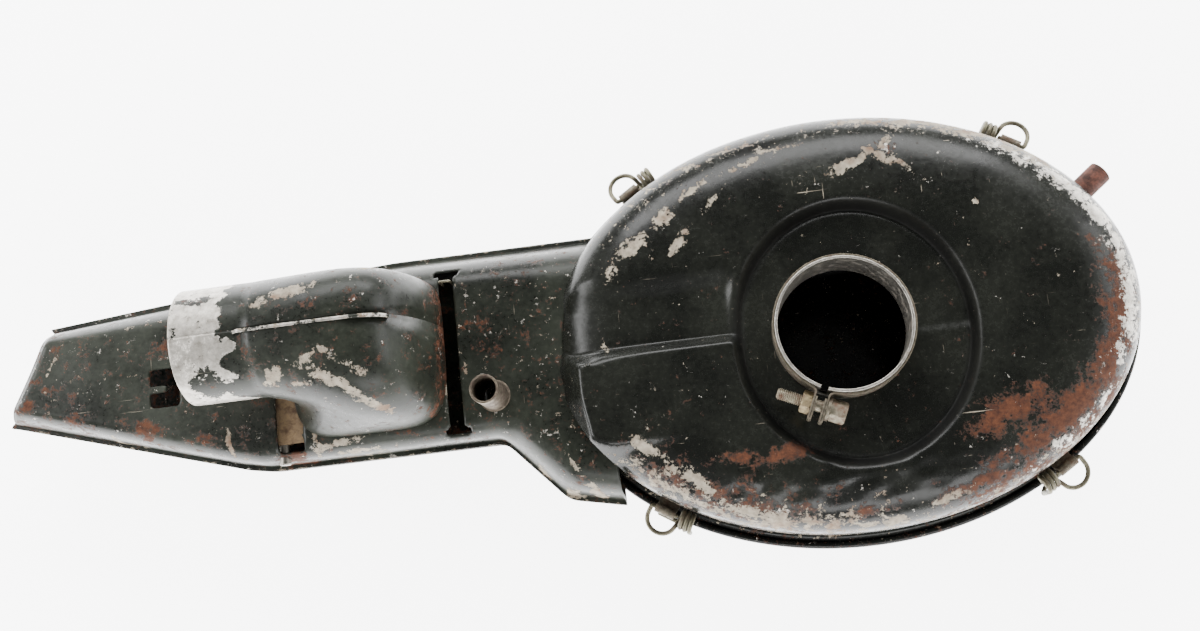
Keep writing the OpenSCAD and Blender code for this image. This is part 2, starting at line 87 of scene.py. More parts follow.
# %% Mesh tools
def grid_faces(rows, cols, wrap=False):
    """Quads between neighbouring rows and columns of a grid; wrap joins the last column to the first."""
    row = np.arange(rows - 1)[:, None]
    col = np.arange(cols if wrap else cols - 1)[None, :]
    following = (col + 1) % cols
    corners = [row * cols + col, row * cols + following, (row + 1) * cols + following, (row + 1) * cols + col]
    return np.stack([c + 0 * row + 0 * col for c in corners], axis=-1).reshape(-1, 4)


def make_object(name, points, faces, fields=None, sharp=40):
    """A mesh object from points in millimetres and faces of equal length, with point attributes."""
    points = np.asarray(points, float).reshape(-1, 3)
    faces = np.asarray(faces)
    used, faces = np.unique(faces, return_inverse=True)
    faces = faces.reshape(-1, 4) if faces.ndim == 1 else faces
    mesh = bpy.data.meshes.new(name)
    mesh.vertices.add(len(used))
    mesh.vertices.foreach_set("co", (points[used] * MM).ravel())
    mesh.loops.add(faces.size)
    mesh.loops.foreach_set("vertex_index", faces.ravel())
    mesh.polygons.add(len(faces))
    mesh.polygons.foreach_set("loop_start", np.arange(len(faces)) * faces.shape[1])
    mesh.update(calc_edges=True)
    mesh.validate()
    mesh.polygons.foreach_set("use_smooth", np.ones(len(mesh.polygons), bool))
    mesh.set_sharp_from_angle(angle=math.radians(sharp))
    for key, values in (fields or {}).items():
        layer = mesh.attributes.new(key, "FLOAT", "POINT")
        layer.data.foreach_set("value", np.asarray(values, float).reshape(-1)[used])
    piece = bpy.data.objects.new(name, mesh)
    bpy.context.scene.collection.objects.link(piece)
    return piece


def give_thickness(piece, sheet, side=-1, even=True):
    """Turns an open surface into sheet metal; side -1 grows it inward from its outer face."""
    wall = piece.modifiers.new("sheet", "SOLIDIFY")
    wall.thickness = sheet * MM
    wall.offset = side
    wall.use_even_offset = even
    return piece


def join(name, parts):
    """One object out of several, which keeps every mesh where it is."""
    bpy.ops.object.select_all(action="DESELECT")
    for part in parts:
        part.select_set(True)
    bpy.context.view_layer.objects.active = parts[0]
    bpy.ops.object.join()
    parts[0].name = name
    return parts[0]


def finish(piece, material, body, slot, *nodes):
    """Gives a piece its material and body and hides the CAD nodes that it stands for; slot is not used."""
    piece.data.materials.clear()
    piece.data.materials.append(material)
    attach(piece, body)
    if nodes:
        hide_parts(*nodes)
    return piece


def ease(value):
    """Smooth step from 0 to 1 as value goes from 0 to 1, flat at both ends."""
    value = np.clip(value, 0, 1)
    return value * value * (3 - 2 * value)


def soft_noise(x, y, size, seed):
    """Gentle random relief of about one size: a sum of 24 waves with random directions and phases."""
    dice = np.random.default_rng(seed)
    total = 0
    for _ in range(24):
        angle = dice.uniform(0, 2 * math.pi)
        wave = 2 * math.pi / (size * dice.uniform(0.7, 1.8))
        total = total + np.sin((x * math.cos(angle) + y * math.sin(angle)) * wave + dice.uniform(0,
                2 * math.pi))
    return total / math.sqrt(24)


# %% [markdown]
# ## Worn black paint
#
# The paint is a stoved black enamel on phosphated steel. It has gone satin and a little green-grey with dust
# and heat. Where it has come off, the pale phosphate and primer show first, then bare steel, and where that
# stayed wet it has rusted. Where a patch lies is a fact of the object, so each pressing carries three fields,
# `chip`, `bare` and `rust`, that say how likely each is at a point. The shader breaks their edges up with
# noise a millimetre or two wide, as flaking paint does. An image could do this too, but a field needs no
# picture and is sharp at any distance.


# %% Node tools
def srgb(code):
    """Linear colour with alpha 1 from an sRGB hex code such as '2b2d2a'."""
    parts = [int(code[i:i + 2], 16) / 255 for i in (0, 2, 4)]
    return tuple(c / 12.92 if c <= 0.04045 else ((c + 0.055) / 1.055) ** 2.4 for c in parts) + (1.0,)


def node(tree, kind, inputs=None, **settings):
    """Adds one node. Settings are its own properties; inputs hold a socket to link or a constant."""
    made = tree.nodes.new(kind)
    for key, value in settings.items():
        setattr(made, key, value)
    for key, value in (inputs or {}).items():
        if isinstance(value, bpy.types.NodeSocket):
            tree.links.new(value, made.inputs[key])
        else:
            made.inputs[key].default_value = value
    return made


def new_material(name):
    """An empty material with its tree, its shader and object coordinates."""
    material = bpy.data.materials.new(name)
    material.use_nodes = True
    tree = material.node_tree
    tree.nodes.clear()
    shader = node(tree, "ShaderNodeBsdfPrincipled")
    output = node(tree, "ShaderNodeOutputMaterial")
    tree.links.new(shader.outputs["BSDF"], output.inputs["Surface"])
    place = node(tree, "ShaderNodeTexCoord").outputs["Object"]
    return material, tree, shader, place


def noise(tree, place, size_mm, detail=4.0, rough=0.6, stretch=None):
    """Noise whose main features are size_mm wide; stretch squeezes it along an axis, as for scratches."""
    vector = place
    if stretch:
        vector = node(tree, "ShaderNodeMapping", {"Vector": place, "Scale": stretch[0],
                                                  "Rotation": stretch[1]}).outputs[0]
    made = node(tree, "ShaderNodeTexNoise",
                {"Vector": vector, "Scale": 1 / (size_mm * MM), "Detail": detail, "Roughness": rough})
    return made.outputs["Fac"]


def blend(tree, mask, first, second):
    """Colour that goes from first to second as mask goes from 0 to 1."""
    made = node(tree, "ShaderNodeMix", {0: mask, 6: first, 7: second}, data_type="RGBA")
    return made.outputs[2]


def ramp(tree, value, low, high, out_low=0.0, out_high=1.0):
    """Value moved from the range low..high to out_low..out_high, and held there."""
    made = node(tree, "ShaderNodeMapRange", {0: value, 1: low, 2: high, 3: out_low, 4: out_high})
    return made.outputs[0]


def add(tree, first, second, kind="ADD"):
    return node(tree, "ShaderNodeMath", {0: first, 1: second}, operation=kind).outputs[0]


def flaked(tree, place, field, size_mm, sharpness=0.06, reach=0.75):
    """Mask of a flaked patch: the field plus noise, cut off sharply, so its edge is ragged."""
    value = node(tree, "ShaderNodeAttribute", attribute_name=field).outputs["Fac"]
    ragged = ramp(tree, noise(tree, place, size_mm, 8.0, 0.74), 0.3, 0.7, -reach, reach)
    flecks = ramp(tree, noise(tree, place, 1.6, 4.0, 0.7), 0.35, 0.65, -0.28, 0.28)
    total = add(tree, add(tree, value, ragged), flecks)
    return ramp(tree, total, 0.5 - sharpness, 0.5 + sharpness)


# %% Worn enamel
def worn_enamel(name, black, dust, dusty, gloss):
    """Stoved enamel with dust, scratches, flakes down to primer, bare steel and rust, and painted shade where
    a field asks for it.
    """
    material, tree, shader, place = new_material(name)
    cloud = ramp(tree, noise(tree, place, 38, 5.0, 0.6), 0.35, 0.68)
    fine = noise(tree, place, 2.2, 6.0, 0.7)
    film = ramp(tree, add(tree, cloud, ramp(tree, fine, 0.3, 0.7, -0.25, 0.25)), 0.1, 1.0, dusty * 0.25,
                dusty)
    colour = blend(tree, film, srgb(black), srgb(dust))

    scratch_a = noise(tree, place, 1.1, 3.0, 0.6, ((0.035, 1, 1), (0, 0, 0.5)))
    scratch_b = noise(tree, place, 0.9, 3.0, 0.6, ((1, 0.03, 1), (0, 0, -0.35)))
    scratched = add(tree, ramp(tree, scratch_a, 0.71, 0.74), ramp(tree, scratch_b, 0.72, 0.75), "MAXIMUM")
    patchy = ramp(tree, noise(tree, place, 30, 3.0), 0.45, 0.6)
    scratched = add(tree, scratched, patchy, "MULTIPLY")
    specks = ramp(tree, noise(tree, place, 1.7, 2.0, 0.4), 0.76, 0.78)
    specks = add(tree, specks, ramp(tree, noise(tree, place, 45, 2.0), 0.5, 0.6), "MULTIPLY")
    nicks = add(tree, scratched, specks, "MAXIMUM")
    colour = blend(tree, ramp(tree, nicks, 0, 1, 0, 0.75), colour, srgb("b9ae9c"))

    rust = flaked(tree, place, "rust", 7.0, 0.22)
    chip = flaked(tree, place, "chip", 5.0, 0.05)
    bare = flaked(tree, place, "bare", 6.0, 0.10)
    primer = blend(tree, ramp(tree, noise(tree, place, 3.0, 5.0), 0.35, 0.7), srgb("aba18f"), srgb("756b5d"))
    primer = blend(tree, ramp(tree, noise(tree, place, 9.0, 3.0), 0.5, 0.68, 0, 0.75), primer, srgb("6f523e"))
    oxide = blend(tree, ramp(tree, noise(tree, place, 2.4, 6.0, 0.75), 0.35, 0.65), srgb("3a1f15"),
                  srgb("6e4028"))
    steel = blend(tree, ramp(tree, noise(tree, place, 3.5, 6.0, 0.7), 0.3, 0.7), srgb("8b867d"),
                  srgb("d8d3ca"))
    colour = blend(tree, ramp(tree, rust, 0, 1, 0, 0.72), colour, oxide)
    colour = blend(tree, bare, colour, steel)
    colour = blend(tree, chip, colour, primer)

    rough = ramp(tree, film, 0, 1, gloss, gloss + 0.3)
    rough = add(tree, rough, ramp(tree, fine, 0.3, 0.7, -0.05, 0.05))
    worn = add(tree, chip, rust, "MAXIMUM")
    rough = node(tree, "ShaderNodeMix", {0: worn, 2: rough, 3: 0.78}).outputs[0]
    rough = node(tree, "ShaderNodeMix", {0: bare, 2: rough, 3: 0.42}).outputs[0]
    metal = add(tree, bare, add(tree, 1.0, chip, "SUBTRACT"), "MULTIPLY")
    metal = add(tree, metal, 0.8, "MULTIPLY")

    # Painted shade: this field turns the paint near black and duller. It stands in for the shade along the
    # casing's recess step.
    painted_recess_shade = node(tree, "ShaderNodeAttribute", attribute_name="painted_recess_shade").outputs["Fac"]
    colour = blend(tree, painted_recess_shade, colour, srgb("060606"))
    rough = node(tree, "ShaderNodeMix", {0: painted_recess_shade, 2: rough, 3: 0.6}).outputs[0]

    relief = add(tree, ramp(tree, chip, 0, 1, 1.0, 0.0), ramp(tree, bare, 0, 1, 1.0, 0.2), "MINIMUM")
    relief = add(tree, relief, ramp(tree, fine, 0.2, 0.8, 0, 0.18))
    relief = add(tree, relief, ramp(tree, rust, 0, 1, 0, 0.3))
    pits = add(tree, rust, noise(tree, place, 0.9, 4.0, 0.7), "MULTIPLY")
    relief = add(tree, relief, add(tree, pits, 0.8, "MULTIPLY"))
    relief = add(tree, relief, ramp(tree, noise(tree, place, 11, 2.0), 0.3, 0.7, 0, 0.55))
    bump = node(tree, "ShaderNodeBump", {"Height": relief, "Strength": 0.55, "Distance": 0.00018})

    tree.links.new(colour, shader.inputs["Base Color"])
    tree.links.new(rough, shader.inputs["Roughness"])
    tree.links.new(metal, shader.inputs["Metallic"])
    tree.links.new(bump.outputs[0], shader.inputs["Normal"])
    shader.inputs["Specular IOR Level"].default_value = 0.24
    return material


casing_enamel = worn_enamel("stoved black enamel, casing", "090a09", "34362f", 0.42, 0.17)
duct_enamel = worn_enamel("stoved black enamel, duct", "0c0e0c", "3d4137", 0.55, 0.25)
lid_enamel = worn_enamel("stoved black enamel, lid", "090a09", "2a2c28", 0.3, 0.16)


# %% Plain metals, rubber and paper
def dull_metal(name, dark, light, spot, rough, spotty=0.5, grain_mm=1.6, metallic=0.9):
    """Plated or bare steel: two tones of the metal, with spots of dirt or rust that are not metallic."""
    material, tree, shader, place = new_material(name)
    grain = ramp(tree, noise(tree, place, grain_mm, 6.0, 0.7), 0.3, 0.7)
    dirt = ramp(tree, noise(tree, place, 4.0, 5.0, 0.7), 0.62 - 0.3 * spotty, 0.8 - 0.25 * spotty)
    colour = blend(tree, grain, srgb(dark), srgb(light))
    colour = blend(tree, dirt, colour, srgb(spot))
    roughness = node(tree, "ShaderNodeMix", {0: dirt, 2: ramp(tree, grain, 0, 1, rough - 0.08, rough + 0.1),
                                             3: 0.85})
    bump = node(tree, "ShaderNodeBump", {"Height": add(tree, grain, dirt), "Strength": 0.35,
                                         "Distance": 0.00012})
    tree.links.new(colour, shader.inputs["Base Color"])
    tree.links.new(roughness.outputs[0], shader.inputs["Roughness"])
    tree.links.new(ramp(tree, dirt, 0, 1, metallic, 0.1), shader.inputs["Metallic"])
    tree.links.new(bump.outputs[0], shader.inputs["Normal"])
    return material


bright_steel = dull_metal("bare steel, neck", "8f8a82", "c9c5bc", "6d6256", 0.34, 0.3)
band_zinc = dull_metal("tarnished zinc plate, band", "5c564a", "8b8474", "4b3c31", 0.46, 0.55)
bolt_zinc = dull_metal("tarnished zinc plate, bolt", "77705f", "aaa492", "5d4636", 0.42, 0.6)
nut_brass_tone = dull_metal("chromated steel, nut", "85765a", "b7a988", "5a4636", 0.5, 0.45)
spring_wire = dull_metal("phosphated spring wire", "4e4b3e", "837e6b", "5a4c3c", 0.42, 0.4)
bracket_steel = dull_metal("rusting plated steel, bracket", "4a463e", "8d8676", "54402f", 0.45, 0.6)
pipe_rust = dull_metal("rusted steel tube", "4a2c24", "7b4a3a", "352019", 0.8, 0.7, 1.2, 0.1)
pipe_grey = dull_metal("stained steel tube", "4c453c", "857a6b", "3c2e25", 0.5, 0.6)
flap_rust = dull_metal("rusted sheet, flap", "6e5a45", "8d7656", "4f3b2b", 0.8, 0.5, 1.4, 0.15)
shaft_steel = dull_metal("oiled steel rod", "6b6760", "98938a", "4f4034", 0.4, 0.35)
mesh_steel = dull_metal("galvanised mesh", "8b8d8c", "b4b6b4", "6d6a62", 0.4, 0.3)


def plain_matte(name, first, second, size_mm, rough, bump_mm):
    """Matte material in two close tones, with a fine relief of the same pattern."""
    material, tree, shader, place = new_material(name)
    tone = ramp(tree, noise(tree, place, size_mm, 5.0, 0.65), 0.3, 0.7)
    tree.links.new(blend(tree, tone, srgb(first), srgb(second)), shader.inputs["Base Color"])
    tree.links.new(ramp(tree, tone, 0, 1, rough - 0.08, rough + 0.05), shader.inputs["Roughness"])
    bump = node(tree, "ShaderNodeBump", {"Height": tone, "Strength": 0.4, "Distance": bump_mm * MM})
    tree.links.new(bump.outputs[0], shader.inputs["Normal"])
    return material


gasket_rubber = plain_matte("nitrile rubber, gasket", "161616", "2a2927", 1.5, 0.7, 0.1)
seal_rubber = plain_matte("moulded plastisol, filter seal", "2a2b2d", "3b3c3e", 3.0, 0.55, 0.1)
filter_stock = plain_matte("resin-treated filter paper", "b7925a", "cbab74", 0.8, 0.9, 0.08)


# %% [markdown]
# ## The casing
#
# The casing is a deep-drawn oval bowl. Around the neck there is a sunken recess, and on the duct's side two
# features run from the recess to the edge: a valley, and beside it a flat table that stays level right up to
# the shoulder. The bowl is a grid: columns go round the oval, and rows go from the neck's hole outward, over
# the shoulder and down to the rim. Only the height changes for the pressed features, so they are added as
# functions of x and y with soft steps, which gives the rounded edges that a press leaves.

# %% The oval and its place
rim_flange = 2.6
sheet = 1.0
oval_mid = (shell_lo[:2] + shell_hi[:2]) / 2
semi = (shell_hi[:2] - shell_lo[:2]) / 2 - rim_flange
dome_top = shell_hi[2]
rim_level = shell_lo[2] + sheet
shoulder = 26.0
shoulder_level = dome_top - shoulder
neck_lo = box_mm("carb_neck")[0]
neck_hole = 27.3
print("oval", oval_mid, "semi-axes", semi, "dome", dome_top, "rim", rim_level)


def oval_points(offset, angle):
    """Points of the oval grown by offset: its two half-axes plus offset, times cosine and sine."""
    return (oval_mid[0] + (semi[0] + offset) * np.cos(angle),
            oval_mid[1] + (semi[1] + offset) * np.sin(angle))


def oval_depth(x, y):
    """How far inside the oval a point is, in millimetres, measured along its own direction from the
    middle.
    """
    away = np.hypot((x - oval_mid[0]) / semi[0], (y - oval_mid[1]) / semi[1])
    radius = np.hypot(x - oval_mid[0], y - oval_mid[1])
    return radius * (1 / np.maximum(away, 1e-6) - 1)


def arc(centre, radii, start, stop, count):
    """Points of an arc in the [offset, height] plane, from start to stop degrees."""
    turn = np.radians(np.linspace(start, stop, count))
    return np.stack([centre[0] + radii[0] * np.cos(turn), centre[1] + radii[1] * np.sin(turn)], -1)


# %% Pressed features of the casing
recess_mid = np.array([5.0, -1.0])
recess_half = np.array([48.5, 54.0])
recess_flat = -45.0
recess_drop = 6.0


def smooth_max(first, second, width):
    """The larger of two heights, rounded where they cross over a distance of about width."""
    mix = np.clip(0.5 + (first - second) / (2 * width), 0, 1)
    return second + (first - second) * mix + width * mix * (1 - mix)


def recess_inside(x, y):
    """Distance inside the recess outline: an ellipse cut off straight on its left side."""
    ratio = np.hypot((x - recess_mid[0]) / recess_half[0], (y - recess_mid[1]) / recess_half[1])
    round_part = (1 - ratio) * recess_half.mean()
    return -smooth_max(-round_part, recess_flat - x, 5)


def casing_height(x, y, base):
    """Height of the pressed surface over the plain bowl: valley down, table up, recess down, then dents."""
    left = ease((-36 - x) / 10)
    valley = 4.6 * ease((35 - y) / 14) * ease((y + 1) / 5.5) * left
    surface = base - valley
    edge = np.minimum.reduce([y + 37, 0 - y, x + 109.5])
    corner = 4 * ease(1 - (x + 109.5) / 14) * ease(1 - (y + 37) / 26)
    table = dome_top - 1.0 + np.minimum(edge - 2.5 - corner, 0) * 1.7
    surface = np.where(x < -30, smooth_max(surface, table, 1.6), surface)
    bead = 0.7 * np.exp(-((y + 1.6) / 1.5) ** 2) * left * ease((x + 112) / 6)
    surface = surface + bead
    inside = recess_inside(x, y)
    floor = dome_top - recess_drop + 0.6 * ease(inside / 26) + 0.8 * ease((-y - 1) / 5) * ease((x - 24) / 8)
    step = ease((inside + 2.4) / 5.2)
    lowest = np.minimum(surface, floor + 1.4 * ease((12 - inside) / 12))
    surface = surface * (1 - step) + lowest * step
    groove = 1.1 * np.exp(-((inside - 2.6) / 1.8) ** 2)
    wrinkled = np.exp(-(((x + 20) / 62) ** 2 + ((y + 58) / 9) ** 2))
    dents = 0.55 * wrinkled * soft_noise(x, y * 1.6, 13, 3) + 0.13 * soft_noise(x, y, 34, 5)
    return np.minimum(surface - groove + dents, dome_top)


# %% Casing surface
columns = 336
turns = np.linspace(0, 2 * math.pi, columns, endpoint=False)
bowl_edge = np.stack(oval_points(-shoulder, turns), -1)
hole_angle = np.arctan2(bowl_edge[:, 1], bowl_edge[:, 0])
hole_edge = neck_hole * np.stack([np.cos(hole_angle), np.sin(hole_angle)], -1)
share = np.linspace(0, 1, 62)[:, None, None]
top = hole_edge[None] * (1 - share) + bowl_edge[None] * share
top_inset = shoulder + np.linalg.norm(bowl_edge[None] - top, axis=-1)

profile = np.concatenate([
    arc((-shoulder, shoulder_level), (shoulder, shoulder), 88, 0, 34),
    [[0, shoulder_level - 4], [0, rim_level + 1.5]],
    arc((1.2, rim_level + 1.2), (1.2, 1.2), 180, 270, 5),
    [[rim_flange, rim_level]]])
round_x, round_y = oval_points(profile[:, :1], turns[None, :])
side_inset = np.repeat(-profile[:, :1], columns, axis=1)
shell_x = np.concatenate([top[..., 0], round_x])
shell_y = np.concatenate([top[..., 1], round_y])
inset = np.concatenate([top_inset, side_inset])
spread = np.clip(1 - inset / 46, 0, 1)
drawn = shoulder_level + shoulder * (1 - spread ** 2.9) ** (1 / 2.9)
below = np.repeat(profile[34:, 1:], columns, axis=1)
plain = np.concatenate([drawn[:-len(below)], below])
pressed = casing_height(shell_x, shell_y, plain)
wall_part = ease((plain - (rim_level + 3)) / 10)
shell_z = plain * (1 - wall_part) + pressed * wall_part


# %% [markdown]
# Where the paint is gone is written down as a short list of patches: the middle, half-length, half-width and
# turn of each, and how worn it is. A patch is an ellipse that is full in its middle and fades to its edge.


# %% Worn patches
def patches(x, y, table):
    """Largest value of a list of soft ellipses (x, y, half-length, half-width, turn in degrees, strength)."""
    field = np.full(np.shape(x), -1.0)
    for px, py, long, wide, turn, strength in table:
        c, s = math.cos(math.radians(turn)), math.sin(math.radians(turn))
        u = ((x - px) * c + (y - py) * s) / long
        v = ((y - py) * c - (x - px) * s) / wide
        field = np.maximum(field, strength * (1.25 - np.hypot(u, v)))
    return field


shell_chips = [
    (-66, 56, 7, 3.5, 35, 1.0), (-52, 66, 8, 2.2, 30, 0.9), (-45, 60, 7, 1.6, 50, 0.8),
    (-79, 46, 8, 4, 28, 1.0),
    (-60, 45, 8, 2.5, 55, 0.9), (-30, 74, 10, 2.0, 14, 0.75), (-14, 79, 9, 1.8, 5, 0.7),
    (-90, 36, 5, 2.5, 60, 0.7),
    (13, 68, 13, 2.6, 22, 0.9), (25, 70, 9, 2.4, -35, 0.85), (29, 76, 7, 2.0, 25, 0.8),
    (33, 66, 8, 1.6, -55, 0.8),
    (44, 84, 24, 2.0, -9, 0.95), (66, 76, 22, 3.0, -24, 0.9), (84, 66, 16, 2.4, -36, 0.85),
    (60, 45, 1.5, 1.5, 0, 0.8), (-96, 5, 2, 6, 12, 0.6), (-84, -37, 10, 2.6, -38, 1.0),
    (-66, -52, 12, 3, -38, 0.95),
    (-50, -66, 8, 3, -22, 0.9), (-34, -72, 11, 3.4, -12, 0.95), (-14, -76, 8, 2.6, -6, 0.8),
    (8, -77, 12, 2.2, 2, 0.75),
    (34, -70, 12, 2.0, 12, 0.7)]
shell_rust = [
    (-30, -47, 13, 4, 6, 1.0), (-47, -46, 8, 3, 0, 0.8), (60, -40, 18, 8, 24, 0.95),
    (84, -42, 26, 7, 38, 1.0),
    (44, -66, 20, 3, 14, 0.9), (105, -8, 5, 16, 12, 0.75), (28, 73, 4, 3, 0, 0.5), (2, -72, 10, 2.5, 3, 0.45),
    (-55, -60, 10, 3, -30, 0.4)]
shell_bare = [
    (28, 72, 4, 2.5, 10, 0.7), (-34, -68, 5, 2, -10, 0.5)]
bearing = np.degrees(np.arctan2((shell_y - oval_mid[1]) / semi[1], (shell_x - oval_mid[0]) / semi[0]))


def rim_band(middle, half, start, stop, fade, strength):
    """Band along the shoulder: strongest at one inset, between two bearings, fading beyond them."""
    ends = np.minimum(bearing - start, stop - bearing) / fade
    return strength * (1.25 - np.abs(inset - middle) / half) * np.clip(ends, 0, 1) - 0.3 * (ends <= 0)


wall_side = recess_inside(shell_x, shell_y)
fields = {
    # Painted shade: a dark band along the recess's step, where shade falls, painted into the casing's colour.
    "painted_recess_shade": 0.8 * np.exp(-((wall_side - 1.2) / 2.2) ** 2),
    "chip": np.maximum.reduce([
        patches(shell_x, shell_y, shell_chips), rim_band(4, 6, -150, -84, 12, 0.44),
        rim_band(5, 4, 28, 96, 14, 0.5),
        rim_band(1, 3, -84, 4, 14, 0.3), rim_band(6, 5, 96, 150, 14, 0.28)]),
    "rust": np.maximum.reduce([
        patches(shell_x, shell_y, shell_rust), rim_band(11, 7, -66, 16, 16, 0.78),
        rim_band(3, 5, -80, -20, 12, 0.6),
        rim_band(8, 8, -150, -95, 14, 0.42)]),
    "bare": np.maximum.reduce([
        patches(shell_x, shell_y, shell_bare), rim_band(7, 5, -30, 60, 16, 0.62),
        rim_band(4, 3, -60, -20, 14, 0.4)])}

# %% Casing piece
port_hi = box_mm("duct_front")[1]
shell_points = np.stack([shell_x, shell_y, shell_z], -1)
shell_faces = grid_faces(len(shell_x), columns, wrap=True)
middles = shell_points.reshape(-1, 3)[shell_faces].mean(1)
port = (middles[:, 0] < oval_mid[0] - semi[0] + 25) & (np.abs(middles[:, 1] - 13.5) < 31) \
    & (middles[:, 2] < port_hi[2] - 4) & (middles[:, 2] > rim_level + 2)
casing = make_object("casing_pressing", shell_points, shell_faces[~port], fields, sharp=60)
give_thickness(casing, sheet)
finish(casing, casing_enamel, "housing", "black_paint", "casing_shell")
print("casing faces", len(casing.data.polygons))

# %% [markdown]
# ## The duct
#
# The duct is two shallow trays joined at a flange. Its cross-section has six corners: flange, foot, face
# edge,
# and the same again on the other side. Along the duct those corners move apart, so a point of the surface is
# a weighted mix of the six corners at its station. Weights that follow a small curve at each corner give the
# pressing its soft edges. The mouth is cut at a slant, and the other end stops on the casing's own outline.

# %% Duct outline
front_lo, front_hi = box_mm("duct_front")
back_lo, back_hi = box_mm("duct_back")
flange_level = front_lo[2] + sheet
face_level = front_hi[2]
west = oval_mid[0] - semi[0]
tip = front_lo[0]


def edge_line(*corners):
    """Function of x through given corners, with each corner rounded over about 10 mm."""
    xs = np.arange(tip - 30, west + 60, 0.5)
    line = np.interp(xs, [c[0] for c in corners], [c[1] for c in corners])
    window = np.hanning(21)
    smooth = np.convolve(np.pad(line, 10, mode="edge"), window / window.sum(), mode="valid")
    return lambda x: np.interp(x, xs, smooth)


flange_south = edge_line((tip + 0.5, 8), (west - 144, -24), (west - 132, -26), (west - 28, -26),
                         (west - 3, -53),
                         (west + 21, -58))
flange_north = edge_line((tip + 21, 51), (west - 180, 55.5), (west - 71, 61), (west + 21, 60.5))
face_south = edge_line((tip + 14, 10.0), (west - 133, -22.5), (west - 120, -23.2), (west - 21, -22.6),
                       (west + 3, -47), (west + 21, -51))
face_north = edge_line((tip + 30, 42.5), (west - 171, 45.6), (west - 66, 50.2), (west + 21, 48.5))
flange_wide = 3.0
front_corners = [
    (flange_south, 0.0, flange_level, tip + 1.5), (flange_south, flange_wide, flange_level, tip + 3),
    (face_south, 0.0, face_level, tip + 12), (face_north, 0.0, face_level, tip + 28),
    (flange_north, -flange_wide, flange_level, tip + 23), (flange_north, 0.0, flange_level, tip + 21.4)]


def corner_weights(counts, rounding):
    """Weights of the corners: straight runs, and a curve at each inner corner over a share of the runs
    beside it.
    """
    rows = []
    last = len(counts)
    for k, count in enumerate(counts):
        start = rounding[k][1]
        stop = 1 - rounding[k + 1][0]
        for t in np.linspace(start, stop, count):
            row = np.zeros(last + 1)
            row[k], row[k + 1] = 1 - t, t
            rows.append(row)
        if k < last - 1:
            before, after = rounding[k + 1]
            for t in np.linspace(0, 1, 13)[1:-1]:
                row = np.zeros(last + 1)
                row[k] = (1 - t) ** 2 * before
                row[k + 2] = t ** 2 * after
                row[k + 1] = 1 - row[k] - row[k + 2]
                rows.append(row)
    return np.array(rows)


def casing_wall(y, grown):
    """x where the duct meets the casing: the left side of the oval grown by a seam's width."""
    reach = np.clip(1 - ((y - oval_mid[1]) / (semi[1] + grown)) ** 2, 0, 1)
    return oval_mid[0] - (semi[0] + grown) * np.sqrt(reach)


def tray(corners, counts, rounding, stations, grown):
    """Surface of one tray: for each station along the duct, the weighted mix of its six corners."""
    weights = corner_weights(counts, rounding)
    start = weights @ np.array([c[3] for c in corners])
    level = weights @ np.array([c[2] for c in corners])
    along = np.linspace(0, 1, stations)[:, None]
    stop = np.full(len(start), west)
    for _ in range(6):
        y_end = sum(weights[:, k] * (c[0](stop) + c[1]) for k, c in enumerate(corners))
        stop = np.minimum(casing_wall(y_end, grown(level)), west + 21.0)
    x = start + (stop - start) * along
    y = sum(weights[:, k] * (c[0](x) + c[1]) for k, c in enumerate(corners))
    return x, y, np.broadcast_to(level, x.shape).copy()


def meets_shoulder(level):
    """How far the casing's outline is inside its wall at a level, plus a seam's overlap."""
    rise = np.maximum(level - shoulder_level, 0)
    return 0.15 - 0.8 * (rise > 0) - shoulder + np.sqrt(shoulder ** 2 - rise ** 2)


# %% [markdown]
# Holes in a pressing have clean edges that don't follow its grid. A signed distance says how far a point is
# from a hole's outline. Faces well inside the hole are dropped, and the points left along its border are
# moved onto the outline by that distance, along the direction in which it grows fastest.


# %% Punching holes
def rounded_box(x, y, x0, x1, y0, y1, radius):
    """Signed distance to a rectangle with round corners, negative inside."""
    dx = np.abs(x - (x0 + x1) / 2) - (x1 - x0) / 2 + radius
    dy = np.abs(y - (y0 + y1) / 2) - (y1 - y0) / 2 + radius
    return np.hypot(np.maximum(dx, 0), np.maximum(dy, 0)) + np.minimum(np.maximum(dx, dy), 0) - radius


def punch(points, faces, distance, where):
    """Drops the faces inside a hole and slides its border points onto the outline."""
    flat = points.reshape(-1, 3)
    gap = np.where(where.ravel(), distance(flat[:, 0], flat[:, 1]), 9.0)
    kept = faces[gap[faces].mean(1) > 0]
    gone = faces[gap[faces].mean(1) <= 0]
    border = np.intersect1d(kept, gone)
    for _ in range(3):
        x, y = flat[border, 0], flat[border, 1]
        here, step = distance(x, y), 0.05
        slope = np.stack([distance(x + step, y) - here, distance(x, y + step) - here], -1) / step
        size = np.maximum((slope ** 2).sum(-1, keepdims=True), 0.3)
        flat[border, :2] -= slope * here[:, None] / size
    return flat.reshape(points.shape), kept


# %% Duct front
slot_mid = west - 44.7
vent_lo, vent_hi = box_mm("vent_pipe")
vent_mid = (vent_lo + vent_hi) / 2


def slot_gap(x, y):
    """Long narrow slot with a wider step at each end."""
    long_part = rounded_box(x, y, slot_mid - 3.2, slot_mid + 3.2, -21, 49, 0.4)
    low = rounded_box(x, y, slot_mid - 5.5, slot_mid + 5.5, -21, -18.4, 0.4)
    high = rounded_box(x, y, slot_mid - 5.5, slot_mid + 5.5, 46.4, 49, 0.4)
    return np.minimum(long_part, np.minimum(low, high))


def latch_gap(x, y):
    """Square hole with a tongue left standing from its left side."""
    hole = rounded_box(x, y, west - 178.5, west - 165, 5, 22, 2.0)
    tongue = rounded_box(x, y, west - 182, west - 171, 11.6, 14.6, 1.2)
    return np.maximum(hole, -tongue)


def vent_gap(x, y):
    """Round hole that the vent pipe stands in."""
    return np.hypot(x - vent_mid[0], y - vent_mid[1]) - 6.1


